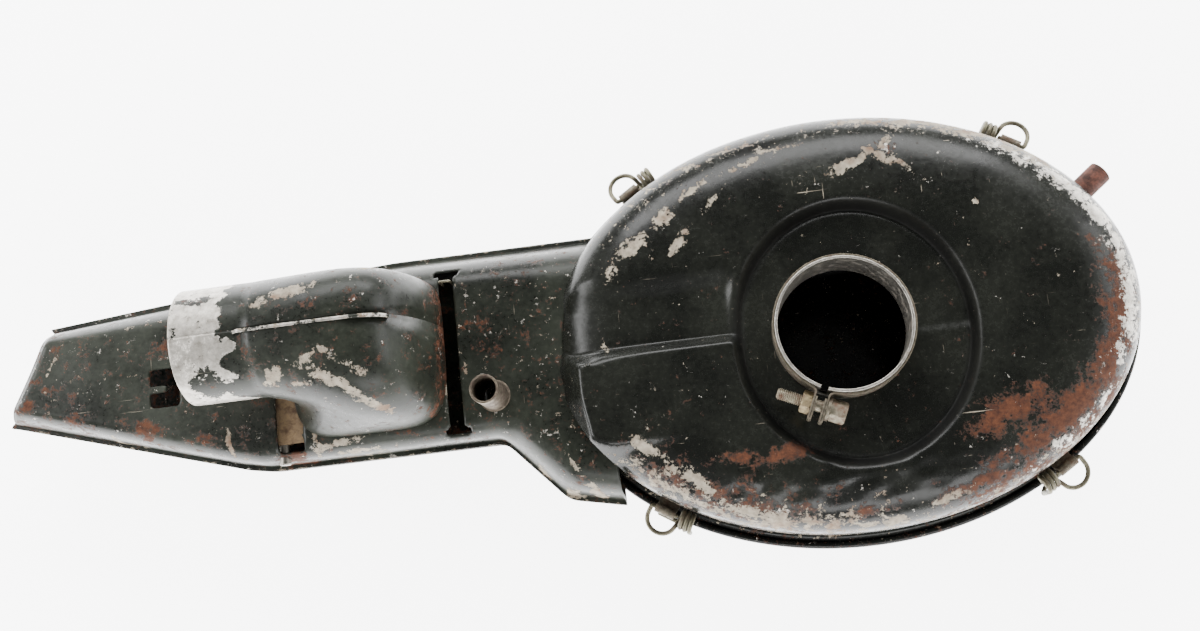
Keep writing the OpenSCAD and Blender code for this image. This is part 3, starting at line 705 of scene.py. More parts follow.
def window_gap(x, y):
    """Rectangular window beside the horn."""
    return rounded_box(x, y, west - 123, west - 111.2, -20.5, 4, 2.0)


def hood_gap(x, y):
    """Opening under the horn's hood."""
    return rounded_box(x, y, west - 107, west - 57, -11, 40, 5.0)


edge_rounding = [(0, 0), (0.4, 0.12), (0.6, 0.12), (0.12, 0.6), (0.12, 0.4), (0, 0)]
fx, fy, fz = tray(front_corners, [4, 18, 62, 18, 4], edge_rounding, 292, meets_shoulder)
on_face = fz > flange_level + 7
waves = 0.16 * soft_noise(fx, fy, 38, 11)
fz = fz - (0.25 - np.minimum(waves, 0.24)) * ease((fz - face_level + 8) / 6)
fz = fz - 2.6 * (1 - ease((fx - fx[:1]) / 4.5)) ** 1.5 * (fz > flange_level + 2)
duct_points = np.stack([fx, fy, fz], -1)
duct_faces = grid_faces(*fx.shape)
for hole in (slot_gap, latch_gap, vent_gap, window_gap, hood_gap):
    duct_points, duct_faces = punch(duct_points, duct_faces, hole, on_face)

duct_chips = [
    (-356, 20, 3, 1.2, 10, 0.7), (-341, 30, 5, 1.2, 60, 0.6), (-318, -4, 3, 1.5, 0, 0.75),
    (-309, -8, 2.5, 1.2, 0, 0.6),
    (-262, -14, 1.1, 8, 4, 0.95), (-224, -14, 1.5, 9, 0, 0.9), (-216, -19, 12, 1.6, 4, 0.85),
    (-168, 37, 1.0, 5, 0, 1.1),
    (-167, 22, 1.1, 6, 0, 1.1), (-166, 0, 1.1, 7, 0, 1.0), (-157, 5, 0.9, 5, 0, 0.8),
    (-130, -40, 4, 2, -60, 0.9),
    (-118, -50, 5, 2.4, -20, 1.0), (-108, -50, 5, 2, -40, 0.9), (-116, -38, 6, 1.2, -60, 0.7),
    (-206, -22, 14, 1.2, 0, 0.8),
    (-300, 42, 10, 1.0, 3, 0.5), (-200, 48, 16, 1.0, 3, 0.5)]
duct_rusts = [(-352, 14, 5, 3, 0, 0.75), (-300, -3, 10, 5, -16, 0.8), (-330, 4, 8, 4, -16, 0.65),
              (-270, -12, 8, 4, -14, 0.6),
              (-290, 30, 8, 6, 0, 0.4), (-236, -22, 10, 3, 0, 0.8), (-150, 20, 6, 10, 0, 0.3)]
edge_worn = 0.42 * ease((np.minimum(np.abs(fy - flange_south(fx)),
                                    np.abs(fy - flange_north(fx))) * -1 + 1.6) / 1.6)
duct_fields = {
    "chip": np.maximum(patches(fx, fy, duct_chips), edge_worn - 0.15),
    "rust": np.maximum(patches(fx, fy, duct_rusts), 0.34 * ease((fx - tip - 60) / -60)),
    "bare": 0.5 * edge_worn - 0.15}
duct_front = make_object("duct_front_pressing", duct_points, duct_faces, duct_fields, sharp=50)
give_thickness(duct_front, sheet, even=False)
finish(duct_front, duct_enamel, "housing", "black_paint", "duct_front")
print("duct front faces", len(duct_front.data.polygons))

# %% Duct back
plate_level = back_hi[2] - sheet
floor_level = back_lo[2]
pan_end = west - 34.0
under_corners = [
    (flange_south, 0.0, 0.0, tip + 0.4), (flange_south, flange_wide, 0.0, tip + 3),
    (flange_south, flange_wide + 4, 1.0, tip + 7), (flange_north, -flange_wide - 4, 1.0, tip + 25),
    (flange_north, -flange_wide, 0.0, tip + 23), (flange_north, 0.0, 0.0, tip + 21.4)]
pan_rounding = [(0, 0), (0.4, 0.4), (0.3, 0.06), (0.06, 0.3), (0.4, 0.4), (0, 0)]
bx, by, deep = tray(under_corners, [4, 9, 50, 9, 4], pan_rounding, 220, lambda level: 4.8)
ribs = sum(1.6 * np.exp(-((bx - rib_x) / 3.2) ** 2) for rib_x in (west - 205, west - 160, west - 115))
ribs = ribs * ease((deep - 0.9) / 0.1)
closing = ease((pan_end - bx) / 10)
bz = plate_level - (plate_level - floor_level) * deep * closing + ribs * closing
back_points = np.stack([bx, by, bz], -1)
back_fields = {
    "chip": 0.2 * (deep < 0.05) - 0.1 + 0.2 * soft_noise(bx, by, 60, 17),
    "rust": 0.25 + 0.3 * soft_noise(bx, by, 50, 19),
    "bare": np.full_like(bx, -0.5)}
duct_back = make_object("duct_back_pressing", back_points, grid_faces(*bx.shape), back_fields, sharp=50)
give_thickness(duct_back, sheet, 1, even=False)
finish(duct_back, duct_enamel, "housing", "black_paint", "duct_back")

# %% [markdown]
# ## The warm-air horn
#
# The horn is an elbow pressed in two halves. Its path is a straight tube, then a quarter turn about a line at
# its inner corner, down into the duct. On the way the round section widens into a rounded square, which is
# one formula: a superellipse whose half-widths and power grow with the turn. The halves meet at a folded
# seam on the outside of the bend.

# %% Horn surface
horn_lo, horn_hi = box_mm("horn_north")
south_hi = box_mm("horn_south")[1]
mouth_x = horn_lo[0]
horn_radius = 24.0
horn_axis_y = horn_hi[1] - 23.5
horn_axis_z = face_level + sheet + horn_radius
hinge_x, hinge_z = west - 115.0, face_level + 0.4
reach_end = (south_hi[0] - 1.2) - hinge_x


def horn_surface(path, round_angle, grown=0.0):
    """Point of the horn: path 0..1 is the straight tube and 1..2 the quarter turn; round_angle goes round."""
    turn = np.clip(path - 1, 0, 1) * math.pi / 2
    bend = ease(np.clip(path - 0.85, 0, 1.15) / 1.15)
    power = 2 / (2 + 2.6 * bend ** 1.6)
    half_deep = horn_radius + (reach_end / 2 - horn_radius) * bend + grown
    half_wide = np.where(np.cos(round_angle) > 0, horn_radius - 0.5 * bend, horn_radius + 17.0 * bend) + grown
    middle = (horn_axis_z - hinge_z) * (1 - bend) + (reach_end / 2) * bend
    c, s = np.cos(round_angle), np.sin(round_angle)
    across = horn_axis_y + half_wide * np.sign(c) * np.abs(c) ** power
    out = middle + half_deep * np.sign(s) * np.abs(s) ** power
    out = np.maximum(out, 0.4)
    straight = mouth_x + 0.3 + np.clip(path, 0, 1) * (hinge_x - mouth_x - 0.3)
    square = 1 - 0.3 * np.sin(turn * 2)
    x = np.where(path < 1, straight, hinge_x + out * np.sin(turn) ** square)
    z = np.where(path < 1, hinge_z + out, hinge_z + out * np.cos(turn) ** square)
    return np.stack([x, across, z + 0 * x], -1)


path_steps = np.concatenate([np.linspace(0, 1, 60), np.linspace(1, 2, 80)[1:]])[:, None]
half_turns = {"north": np.linspace(-90, 90, 76), "south": np.linspace(90, 270, 76)}
horn_chips = {
    "north": [(-216, 37, 15, 3.0, 6, 1.05), (-230, 33, 4, 2, 10, 0.8), (-186, 45, 5, 1.2, 6, 0.6),
              (-160, 30, 6, 4, 80, 0.5)],
    "south": [(-226, 5, 7, 2.6, 20, 0.9), (-212, 9, 5, 2.2, 20, 0.9), (-205, 2, 8, 3, -35, 0.95),
              (-196, -4, 9, 2.6, -40, 0.95),
              (-188, -10, 8, 2.6, -35, 0.9), (-190, 2, 4, 2, -20, 0.8), (-218, 1, 10, 1.0, -6, 0.7),
              (-202, 11, 5, 1.6, -25, 0.7),
              (-196, 6, 5, 1.6, -25, 0.75)]}
for half, angles in half_turns.items():
    grid = horn_surface(path_steps, np.radians(angles)[None, :])
    hx, hy, hz = grid[..., 0], grid[..., 1], grid[..., 2]
    ragged = 5.0 * soft_noise(hy * 2.2, hz * 2.2, 22, 23)
    band = ease((mouth_x + 22 + ragged - hx) / 5 + 0.5)
    kept_paint = ease(patches(hx, hy, [(-254, 6, 8, 5, 0, 1.25),
                                       (-257, 39, 9, 2.5, 0, 1.0)]) * 1.2) * (hz > -6)
    worn = patches(hx, hy, horn_chips[half]) - 2.0 * (hz < -4)
    horn_fields = {
        "chip": worn,
        "rust": 0.5 * ease((hx - (south_hi[0] - 12)) / 10) * ease((-10 - hz) / 12),
        "bare": 1.1 * band - 0.9 * kept_paint - 0.15}
    horn = make_object("horn_pressing_" + half, grid, grid_faces(*hx.shape), horn_fields, sharp=55)
    give_thickness(horn, sheet)
    finish(horn, duct_enamel, "housing", "black_paint", "horn_" + half)
    print("horn", half, len(horn.data.polygons))

# %% [markdown]
# ## Lid and gasket
#
# The lid is a pan whose profile is carried round the oval: floor, corner, wall, a flat rim and a rolled bead
# at its edge. The gasket and the element's seals use the same idea with a closed profile, so one function
# makes them all.


# %% Profiles carried round the oval
def round_oval(name, profile, steps, closed=True, fields=None, sharp=40):
    """Carries [offset, height] points round the oval; a closed profile joins its last point to its first."""
    profile = np.asarray(profile)
    if closed:
        profile = np.concatenate([profile, profile[:1]])
    angle = np.linspace(0, 2 * math.pi, steps, endpoint=False)[None, :]
    x, y = oval_points(profile[:, :1], angle)
    points = np.stack([x, y, np.broadcast_to(profile[:, 1:], x.shape)], -1)
    if closed:
        ring = grid_faces(len(profile), steps, wrap=True)
        ring = ring % ((len(profile) - 1) * steps)
        return make_object(name, points[:-1], ring, fields, sharp)
    return make_object(name, points, grid_faces(len(profile), steps, wrap=True), fields, sharp)


def bar_section(inner, outer, low, high, radius, count=5):
    """Closed rounded rectangle in the [offset, height] plane."""
    corners = [((outer - radius, high - radius), 90, 0), ((outer - radius, low + radius), 0, -90),
               ((inner + radius, low + radius), -90, -180), ((inner + radius, high - radius), 180, 90)]
    return np.concatenate([arc(mid, (radius, radius), a, b, count) for mid, a, b in corners])


# %% Lid
lid_lo, lid_hi = box_mm("lid")
gasket_lo, gasket_hi = box_mm("lid_gasket")
lid_floor = lid_lo[2]
rim_top = gasket_lo[2]
bead_radius = 1.6
bead_offset = (lid_hi[0] - lid_lo[0]) / 2 - semi[0] - bead_radius
bead_level = lid_hi[2] - bead_radius
lid_wall = -2.5
lid_steps = 300
floor_shares = np.linspace(0.02, 1, 36)[:, None]
floor_angle = np.linspace(0, 2 * math.pi, lid_steps, endpoint=False)[None, :]
corner = 10.0
flat_x, flat_y = oval_points(lid_wall - corner, floor_angle)
disc_x = oval_mid[0] + (flat_x - oval_mid[0]) * floor_shares
disc_y = oval_mid[1] + (flat_y - oval_mid[1]) * floor_shares
inset_depth = oval_depth(disc_x, disc_y)
disc_z = lid_floor + 2.2 * ease((inset_depth - 24) / 5) - 1.4 * ease((inset_depth - 52) / 4) + 0 * disc_x
outline = np.concatenate([
    arc((lid_wall - corner, lid_floor + corner), (corner, corner), -88, 0, 12),
    [[lid_wall, rim_top - sheet - 2.2]],
    arc((lid_wall + 1.6, rim_top - sheet - 1.6), (1.6, 1.6), 180, 90, 6),
    arc((bead_offset, bead_level), (bead_radius, bead_radius), 215, 505, 22)])
side_x, side_y = oval_points(outline[:, :1], floor_angle)
lid_x, lid_y = np.concatenate([disc_x, side_x]), np.concatenate([disc_y, side_y])
lid_z = np.concatenate([disc_z, np.repeat(outline[:, 1:], lid_steps, axis=1)])
floor_marks = patches(lid_x, lid_y, [(-30, -20, 30, 10, 20, 0.6), (40, 30, 24, 12, -30, 0.6),
                                     (70, -20, 16, 9, 50, 0.5)])
low_corner = ease((lid_floor + 6 - lid_z) / 5) * ease((14 - oval_depth(lid_x, lid_y)) / 8)
lid_fields = {
    "chip": 0.42 * low_corner + 0.25 * soft_noise(lid_x, lid_y, 45, 29) * low_corner - 0.1,
    "rust": np.maximum(0.7 * floor_marks, 0.4 * low_corner),
    "bare": 0.3 * low_corner - 0.2}
lid_grid = np.stack([lid_x, lid_y, lid_z], -1)
lid_faces = grid_faces(len(lid_x), lid_steps, wrap=True)
lid_rim = make_object("lid_pan", lid_grid, lid_faces, lid_fields, sharp=50)
hub = bpy.data.meshes.new("hub")
hub_ring = lid_grid[0]
hub.from_pydata([tuple(p * MM) for p in hub_ring] + [tuple(np.append(hub_ring[:, :2].mean(0),
                                                                     hub_ring[0, 2]) * MM)],
                [], [(lid_steps, (k + 1) % lid_steps, k) for k in range(lid_steps)])
lid_hub = bpy.data.objects.new("hub", hub)
bpy.context.scene.collection.objects.link(lid_hub)
lid_piece = join("lid_pan", [lid_rim, lid_hub])
weld = lid_piece.modifiers.new("weld", "WELD")
weld.merge_threshold = 0.00001
give_thickness(lid_piece, 0.95)
finish(lid_piece, lid_enamel, "lid", "black_paint", "lid")

# %% Gasket and element
gasket = round_oval("rim_gasket", bar_section(-1.5, 2.4, gasket_lo[2], gasket_hi[2], 0.9), 240)
finish(gasket, gasket_rubber, "lid", "rubber", "lid_gasket")

paper_lo, paper_hi = box_mm("filter_paper")
paper_out = (paper_hi[0] - paper_lo[0]) / 2 - semi[0]
paper_in = paper_out - 12.0
for seal_node in ("filter_seal_neck", "filter_seal_lid"):
    low, high = box_mm(seal_node)
    seal = round_oval(seal_node + "_ring", bar_section(paper_in - 1.8, paper_out + 1, low[2], high[2], 1.3),
                      200)
    finish(seal, seal_rubber, "filter", "rubber", seal_node)

# %% [markdown]
# Filter paper is folded to and fro between the two radii. The fold is a triangle wave round the oval with
# its tips rounded, and the sheet is given the thickness of card so that it shades well.

# %% Pleats and inner mesh
pleats = 132
per_pleat = 8
pleat_angle = np.linspace(0, 2 * math.pi, pleats * per_pleat, endpoint=False)
wave = np.abs(((pleat_angle * pleats / (2 * math.pi)) % 1) * 2 - 1)
wave = 0.5 + 0.5 * np.tanh((wave - 0.5) * 3.2) / math.tanh(1.6)
pleat_levels = np.linspace(paper_lo[2], paper_hi[2], 5)[:, None]
pleat_x, pleat_y = oval_points((paper_in + 0.5 + (paper_out - paper_in - 1.0) * wave)[None, :],
                               pleat_angle[None, :])
pleat_grid = np.stack([pleat_x + 0 * pleat_levels, pleat_y + 0 * pleat_levels, pleat_levels + 0 * pleat_x],
                      -1)
paper = make_object("pleated_paper", pleat_grid, grid_faces(5, pleats * per_pleat, wrap=True), sharp=80)
give_thickness(paper, 0.7, 0)
finish(paper, filter_stock, "filter", "paper", "filter_paper")

mesh_lo, mesh_hi = box_mm("filter_mesh")
cells_round, cells_high = 130, 13
pitch_angle = 2 * math.pi / cells_round
pitch_z = (mesh_hi[2] - mesh_lo[2]) / cells_high
cell_col, cell_row = np.meshgrid(np.arange(cells_round), np.arange(cells_high))
cell_angle = (cell_col + 0.5 * (cell_row % 2)).ravel() * pitch_angle
cell_z = mesh_lo[2] + (cell_row.ravel() + 0.5) * pitch_z
loop_turn = np.radians(np.arange(0, 360, 90))
rings = []
for reach, depth in ((1.0, 0.15), (0.66, 0.15), (0.66, 0.7), (1.0, 0.7)):
    angle = cell_angle[:, None] + np.cos(loop_turn) * 0.56 * pitch_angle * reach
    level = np.clip(cell_z[:, None] + np.sin(loop_turn) * pitch_z * 0.98 * reach, mesh_lo[2], mesh_hi[2])
    mx, my = oval_points(paper_in - depth, angle)
    rings.append(np.stack([mx, my, level], -1))
mesh_points = np.stack(rings, 1)
cell_faces = grid_faces(5, 4, wrap=True) % 16
mesh_faces = (cell_faces[None] + 16 * np.arange(len(cell_angle))[:, None, None]).reshape(-1, 4)
inner_mesh = make_object("inner_support_mesh", mesh_points, mesh_faces, sharp=30)
finish(inner_mesh, mesh_steel, "filter", "bare_steel", "filter_mesh")

# %% [markdown]
# ## Turned and drawn parts
#
# The neck, the pipes, the clamp's bolt and the washers are all made by turning a profile round an axis. One
# function does this for any axis: it turns [radius, distance along the axis] points and places them by the
# axis' own two cross directions.


# %% Turning
def turned(name, profile, origin, axis, steps=64, radius_of=None, sharp=35):
    """Turns closed [radius, along] points about an axis. radius_of(radius, along, angle) may shape the
    radius.
    """
    profile = np.asarray(profile, float)
    axis = np.asarray(axis, float) / np.linalg.norm(axis)
    side = np.cross(axis, (0, 0, 1.0) if abs(axis[2]) < 0.9 else (0, 1.0, 0))
    side /= np.linalg.norm(side)
    other = np.cross(axis, side)
    angle = np.linspace(0, 2 * math.pi, steps, endpoint=False)[None, :]
    radius, along = profile[:, :1] + 0 * angle, profile[:, 1:] + 0 * angle
    if radius_of:
        radius = radius_of(radius, along, angle)
    points = np.asarray(origin) + radius[..., None] * (np.cos(angle)[..., None] * side + np.sin(angle)[...,
            None] * other) \
        + along[..., None] * axis
    faces = grid_faces(len(profile) + 1, steps, wrap=True) % (len(profile) * steps)
    return make_object(name, points, faces, sharp=sharp)


def lathe_ring(inner, outer, low, high, soft=0.25):
    """Closed tube section with its four edges softened."""
    return np.concatenate([
        arc((outer - soft, low + soft), (soft, soft), -90, 0, 4),
        arc((outer - soft, high - soft), (soft, soft), 0, 90, 4),
        arc((inner + soft, high - soft), (soft, soft), 90, 180, 4),
        arc((inner + soft, low + soft), (soft, soft), 180, 270, 4)])


# %% Neck
neck_inner, neck_outer = 26.0, 27.2
clamp_turn = math.radians(245.5)
slit = 1.5
neck_profile = np.concatenate([
    arc((neck_outer - 0.35, -0.35), (0.35, 0.35), 0, 90, 4),
    arc((neck_inner + 0.35, -0.35), (0.35, 0.35), 90, 180, 4),
    [[neck_inner, -1.5], [neck_inner, -6], [neck_inner, -14.2], [neck_inner, neck_lo[2]]],
    [[neck_outer + 7, neck_lo[2]], [neck_outer + 7, neck_lo[2] + 1.2]],
    [[neck_outer, neck_lo[2] + 1.2], [neck_outer, -14.2], [neck_outer, -6], [neck_outer, -1.5]]])
neck_angle = clamp_turn + np.concatenate([np.linspace(slit / 27, 2 * math.pi - slit / 27, 119),
                                          [2 * math.pi]])
neck_x = neck_profile[:, :1] * np.cos(neck_angle)
neck_y = neck_profile[:, :1] * np.sin(neck_angle)
neck_grid = np.stack([neck_x, neck_y, neck_profile[:, 1:] + 0 * neck_x], -1)
neck_faces = grid_faces(len(neck_profile) + 1, 120, wrap=True) % (len(neck_profile) * 120)
neck_middle = neck_grid.reshape(-1, 3)[neck_faces].mean(1)
slit_angle = np.arctan2(neck_middle[:, 1], neck_middle[:, 0]) - clamp_turn
off_slit = np.abs(np.angle(np.exp(1j * slit_angle))) > 1.2 / 27
neck = make_object("neck_tube", neck_grid, neck_faces[off_slit | (neck_middle[:, 2] < -14.2)], sharp=35)
finish(neck, bright_steel, "housing", "bare_steel", "carb_neck")

# %% [markdown]
# ## Clamp
#
# The clamp is one strip of steel. Its path comes in along one ear, goes round the neck and out along the
# other ear, whose tip is folded over. The strip is made as a surface, path by height, with a thickness.


# %% Strips and wires
def frame_at(origin, angle_deg, flip=1.0):
    """Turns local points (outward, along, up) into the part's frame; flip mirrors the second one."""
    c, s = math.cos(math.radians(angle_deg)), math.sin(math.radians(angle_deg))

    def place(points):
        points = np.asarray(points, float)
        u, t = points[..., 0], flip * points[..., 1]
        return np.stack([origin[0] + u * c - t * s, origin[1] + u * s + t * c, origin[2] + points[..., 2]],
                        -1)
    return place


def rounded_path(corners, radius, count=7):
    """A polyline in two or three dimensions with each inner corner replaced by a curve of about the
    given radius.
    """
    corners = [np.asarray(c, float) for c in corners]
    points = [corners[0]]
    for before, here, after in zip(corners, corners[1:], corners[2:]):
        back, ahead = before - here, after - here
        reach = min(radius, 0.49 * np.linalg.norm(back), 0.49 * np.linalg.norm(ahead))
        start = here + back / np.linalg.norm(back) * reach
        stop = here + ahead / np.linalg.norm(ahead) * reach
        t = np.linspace(0, 1, count)[:, None]
        points.extend((1 - t) ** 2 * start + 2 * t * (1 - t) * here + t ** 2 * stop)
    points.append(corners[-1])
    return np.array(points)


def strip(name, path, low, high, place, sheet_mm, upright=True):
    """Sheet strip: a path in the local plane carried from low to high along the third local axis."""
    path = np.asarray(path)
    levels = np.linspace(0, 1, 7)
    low, high = np.broadcast_to(low, len(path)), np.broadcast_to(high, len(path))
    across = low[:, None] + (high - low)[:, None] * levels
    first = np.broadcast_to(path[:, :1], across.shape)
    second = np.broadcast_to(path[:, 1:], across.shape)
    local = np.stack([first, second, across] if upright else [first, across, second], -1)
    piece = make_object(name, place(local), grid_faces(len(path), 7), sharp=50)
    give_thickness(piece, sheet_mm, 0)
    edge = piece.modifiers.new("edge", "BEVEL")
    edge.width = 0.18 * MM
    edge.segments = 2
    edge.limit_method = "ANGLE"
    return piece


def wire(name, path, radius, sides=14):
    """Round wire along a path, closed at both ends. Each ring keeps the last ring's direction as far as
    it can.
    """
    path = np.asarray(path)
    step = np.gradient(path, axis=0)
    step /= np.linalg.norm(step, axis=1, keepdims=True)
    side = np.cross(step[0], (0.3, 0.2, 1.0))
    sides_dir = []
    for direction in step:
        side = side - direction * side.dot(direction)
        side /= np.linalg.norm(side)
        sides_dir.append(side)
    first = np.array(sides_dir)
    second = np.cross(step, first)
    turn = np.linspace(0, 2 * math.pi, sides, endpoint=False)[None, :, None]
    ring = np.cos(turn) * first[:, None] + np.sin(turn) * second[:, None]
    body = path[:, None] + radius * ring
    start = [path[0] - step[0] * radius * d * 0.6 + radius * w * ring[0] for w,
             d in ((0.03, 1.0), (0.6, 0.8), (0.9, 0.4))]
    stop = [path[-1] + step[-1] * radius * d * 0.6 + radius * w * ring[-1] for w,
            d in ((0.9, 0.4), (0.6, 0.8), (0.03, 1.0))]
    points = np.concatenate([np.array(start), body, np.array(stop)])
    return make_object(name, points, grid_faces(len(points), sides, wrap=True)[:, ::-1], sharp=80)


# %% Clamp band
band_low, band_high = box_mm("clamp_band")
clamp_mid = (band_low[2] + band_high[2]) / 2
clamp_place = frame_at((0, 0, clamp_mid), 245.5)
band_r, ear_end = 27.75, 39.8
bend_turn = np.radians(np.linspace(9, 351, 120))
around = np.stack([band_r * np.cos(bend_turn), band_r * np.sin(bend_turn)], -1)
lead_in = rounded_path([(30.6, 1.85), (ear_end, 1.8), (ear_end, 2.75), (band_r + 0.6, 2.75), around[0]], 0.9)
lead_out = rounded_path([around[-1], (band_r + 0.6, -2.75), (ear_end, -2.75), (ear_end, -1.8),
                         (30.6, -1.85)], 0.9)
band_path = np.concatenate([lead_in[:-1], around, lead_out[1:]])
taper = 5.5 - 1.3 * ease((band_path[:, 0] - 34) / 4)
band = strip("clamp_strip", band_path, -taper, taper, clamp_place, 0.7)
finish(band, band_zinc, "housing", "zinc", "clamp_band")


# %% Bolt, nut and washer
def hexagon(flat):
    """Radius of a hexagon by angle: half its width over the cosine of the angle from a flat's middle."""
    def shape(radius, along, angle):
        return np.minimum(radius, flat / 2 / np.cos(np.mod(angle, math.pi / 3) - math.pi / 6))
    return shape


clamp_axis = (-math.sin(clamp_turn), math.cos(clamp_turn), 0)
bolt_mid = np.array([33.5 * math.cos(clamp_turn), 33.5 * math.sin(clamp_turn), clamp_mid])


def thread(radius, along, angle):
    """Screw thread: a triangle wave that climbs 0.8 mm in each turn, cut 0.4 mm deep."""
    turn = np.mod(along / 0.8 - angle / (2 * math.pi), 1)
    depth = 0.42 * (1 - np.abs(2 * turn - 1)) * ease((-3.5 - along) / 0.6)
    return np.where(radius > 2.0, radius - depth, radius)


shank = [[0.02, 4.7], [2.45, 4.7], [2.45, -3]] + [[2.45, -3 - 0.1 * k] for k in range(1, 134)]
shank += [[2.2, -16.6], [1.7, -17.0], [0.02, -17.0]]
screw = turned("bolt_shank", shank[::-1], bolt_mid, clamp_axis, 40, thread)
head = [[0.02, 4.6], [4.2, 4.6], [4.62, 4.9], [4.62, 10.4], [4.0, 11.05], [2.9, 11.1], [2.6, 10.8],
        [0.02, 10.8]]
bolt_head = turned("bolt_head", head, bolt_mid, clamp_axis, 96, hexagon(8.0))
bolt = join("clamp_bolt_body", [screw, bolt_head])
finish(bolt, bolt_zinc, "housing", "zinc", "clamp_bolt")
nut = turned("clamp_nut_body", [[2.6, -7.1], [4.0, -7.1], [4.62, -6.7], [4.62, -3.5], [4.0, -3.1],
                                [2.6, -3.1]],
             bolt_mid, clamp_axis, 96, hexagon(8.0))
finish(nut, nut_brass_tone, "housing", "bare_steel", "clamp_nut")
washer = turned("clamp_washer_body", lathe_ring(2.75, 4.95, 3.15, 4.55, 0.2), bolt_mid, clamp_axis, 48)
finish(washer, band_zinc, "housing", "bare_steel", "clamp_washer")

# %% [markdown]
# ## Pipes
#
# Both pipes are plain tubes. The vent pipe has a flared foot where it is brazed to the duct.

# %% Pipes
foot = face_level + 0.05
vent_top = vent_hi[2]
flare = arc((8.2, foot + 2.2), (2.2, 2.0), 270, 180, 8)
vent_profile = np.concatenate([[[5.0, foot - 3], [6.0, foot - 3], [6.0, foot], [8.3, foot]], flare,
                               arc((5.7, vent_top - 0.3), (0.3, 0.3), 0, 90, 4),
                               arc((5.3, vent_top - 0.3), (0.3, 0.3), 90, 180, 4)])
vent = turned("vent_tube", vent_profile, (vent_mid[0], vent_mid[1], 0), (0, 0, 1), 56)
finish(vent, pipe_grey, "housing", "bare_steel", "vent_pipe")

pipe_lo, pipe_hi = box_mm("breather_pipe")
breather_turn = math.radians(37)
breather_dir = np.array([math.cos(breather_turn), math.sin(breather_turn), 0])
breather_end = np.array([pipe_hi[0] - 5 * math.sin(breather_turn), pipe_hi[1] - 5 * math.cos(breather_turn),
                         (pipe_lo[2] + pipe_hi[2]) / 2])
breather = turned("breather_tube", lathe_ring(4.0, 5.0, -19, 0, 0.3), breather_end, breather_dir, 48)
finish(breather, pipe_rust, "housing", "rusty_steel", "breather_pipe")

# %% [markdown]
# ## Clips
#
# Each clip is one spring wire: a pin through the rolled knuckle of its bracket, a loop for the finger, three
# turns of coil about the same axis, an arm down the outside and a hook under the lid's bead. The path is
# written once in the clip's own frame and placed four times; clips 1 and 3 are mirror images.

# %% Clip frames
clip_degrees = (48.5, 131.5, 228.5, 311.5)
pivot_out, pivot_up = 5.6, shoulder_level - 3
coil_radius, half_loop = 3.6, 6.3
arm_out = pivot_out + coil_radius
hook_turn = math.radians(62)
hook_out = bead_offset + (bead_radius + 1.1) * math.sin(hook_turn)
hook_up = bead_level - (bead_radius + 1.1) * math.cos(hook_turn)


def clip_frame(k):
    """Frame of clip k: outward from the casing's wall, along the rim, and up."""
    angle = math.radians(clip_degrees[k])
    point = oval_points(0, angle)
    outward = math.degrees(math.atan2(math.sin(angle) / semi[1], math.cos(angle) / semi[0]))
    return frame_at((point[0], point[1], 0), outward, -1.0 if k % 2 == 0 else 1.0)


loop_arc = np.linspace(90, -65, 24)
droop = math.radians(13)


def drooped(out, along):
    """A point of the loop's plane, which hangs down a little from the pivot."""
    return (pivot_out + (out - pivot_out) * math.cos(droop), along,
            pivot_up - (out - pivot_out) * math.sin(droop))


loop = [drooped(arm_out + half_loop * math.cos(a), half_loop * math.sin(a)) for a in np.radians(loop_arc)]
coil_share = np.linspace(0, 1, 97)
coil_at = -3 * 2 * math.pi * coil_share
coil = np.stack([pivot_out + coil_radius * np.cos(coil_at), -half_loop - 6.3 * coil_share,
                 pivot_up + coil_radius * np.sin(coil_at)], -1)
pin = rounded_path([(pivot_out, -5.1, pivot_up), (pivot_out, 6.3, pivot_up), drooped(arm_out - 0.2, 6.3)],
                   1.3)
arm = rounded_path([(arm_out, -12.6, pivot_up - 0.4), (arm_out, -12.6, hook_up), (hook_out, -9.6, hook_up),
                    (hook_out, 3.0, hook_up)], 1.6)
bend = rounded_path([loop[-1], drooped(pivot_out + 4.16, -half_loop), coil[6]], 2.0)
clip_path = np.concatenate([pin[:-1], loop, bend[1:-1], coil[6:-1], arm])

# %% Clips and brackets
knuckle = [(pivot_out + 1.6 * math.cos(a),
            pivot_up + 1.6 * math.sin(a)) for a in np.radians(np.linspace(-90, 205, 22))]
strap_path = rounded_path([(0.6, rim_level + 1.4), (0.6, pivot_up - 3.4),
                           (pivot_out - 0.1, pivot_up - 1.65)], 1.0)
strap_path = np.concatenate([strap_path, knuckle])
for k in range(4):
    spring = wire("clip_spring_%d" % (k + 1), clip_frame(k)(clip_path), 0.98)
    finish(spring, spring_wire, "clip_%d" % (k + 1), "spring_steel", "clip_wire_%d" % (k + 1))
    bracket = strip("clip_strap_%d" % (k + 1), strap_path, -4.4, 4.4, clip_frame(k), 0.95, upright=False)
    finish(bracket, bracket_steel, "housing", "zinc", "clip_bracket_%d" % (k + 1))

# %% Slot staple
staple_lo, staple_hi = box_mm("slot_clip")
staple_y = (staple_lo[1] + staple_hi[1]) / 2
leg_a, leg_b = staple_lo[0] + 0.65, staple_hi[0] - 0.65
staple_path = rounded_path([(leg_a, staple_y, staple_lo[2] + 0.4), (leg_a, staple_y, staple_hi[2] - 0.7),
                            (leg_b, staple_y, staple_hi[2] - 0.7), (leg_b, staple_y, staple_lo[2] + 0.4)],
                            0.9)
staple = wire("slot_staple", staple_path, 0.55, 10)
finish(staple, spring_wire, "housing", "spring_steel", "slot_clip")

# %% [markdown]
# ## Flap
#
# The flap's sheet is curled round its shaft at one end. It is seen through the window in the duct.

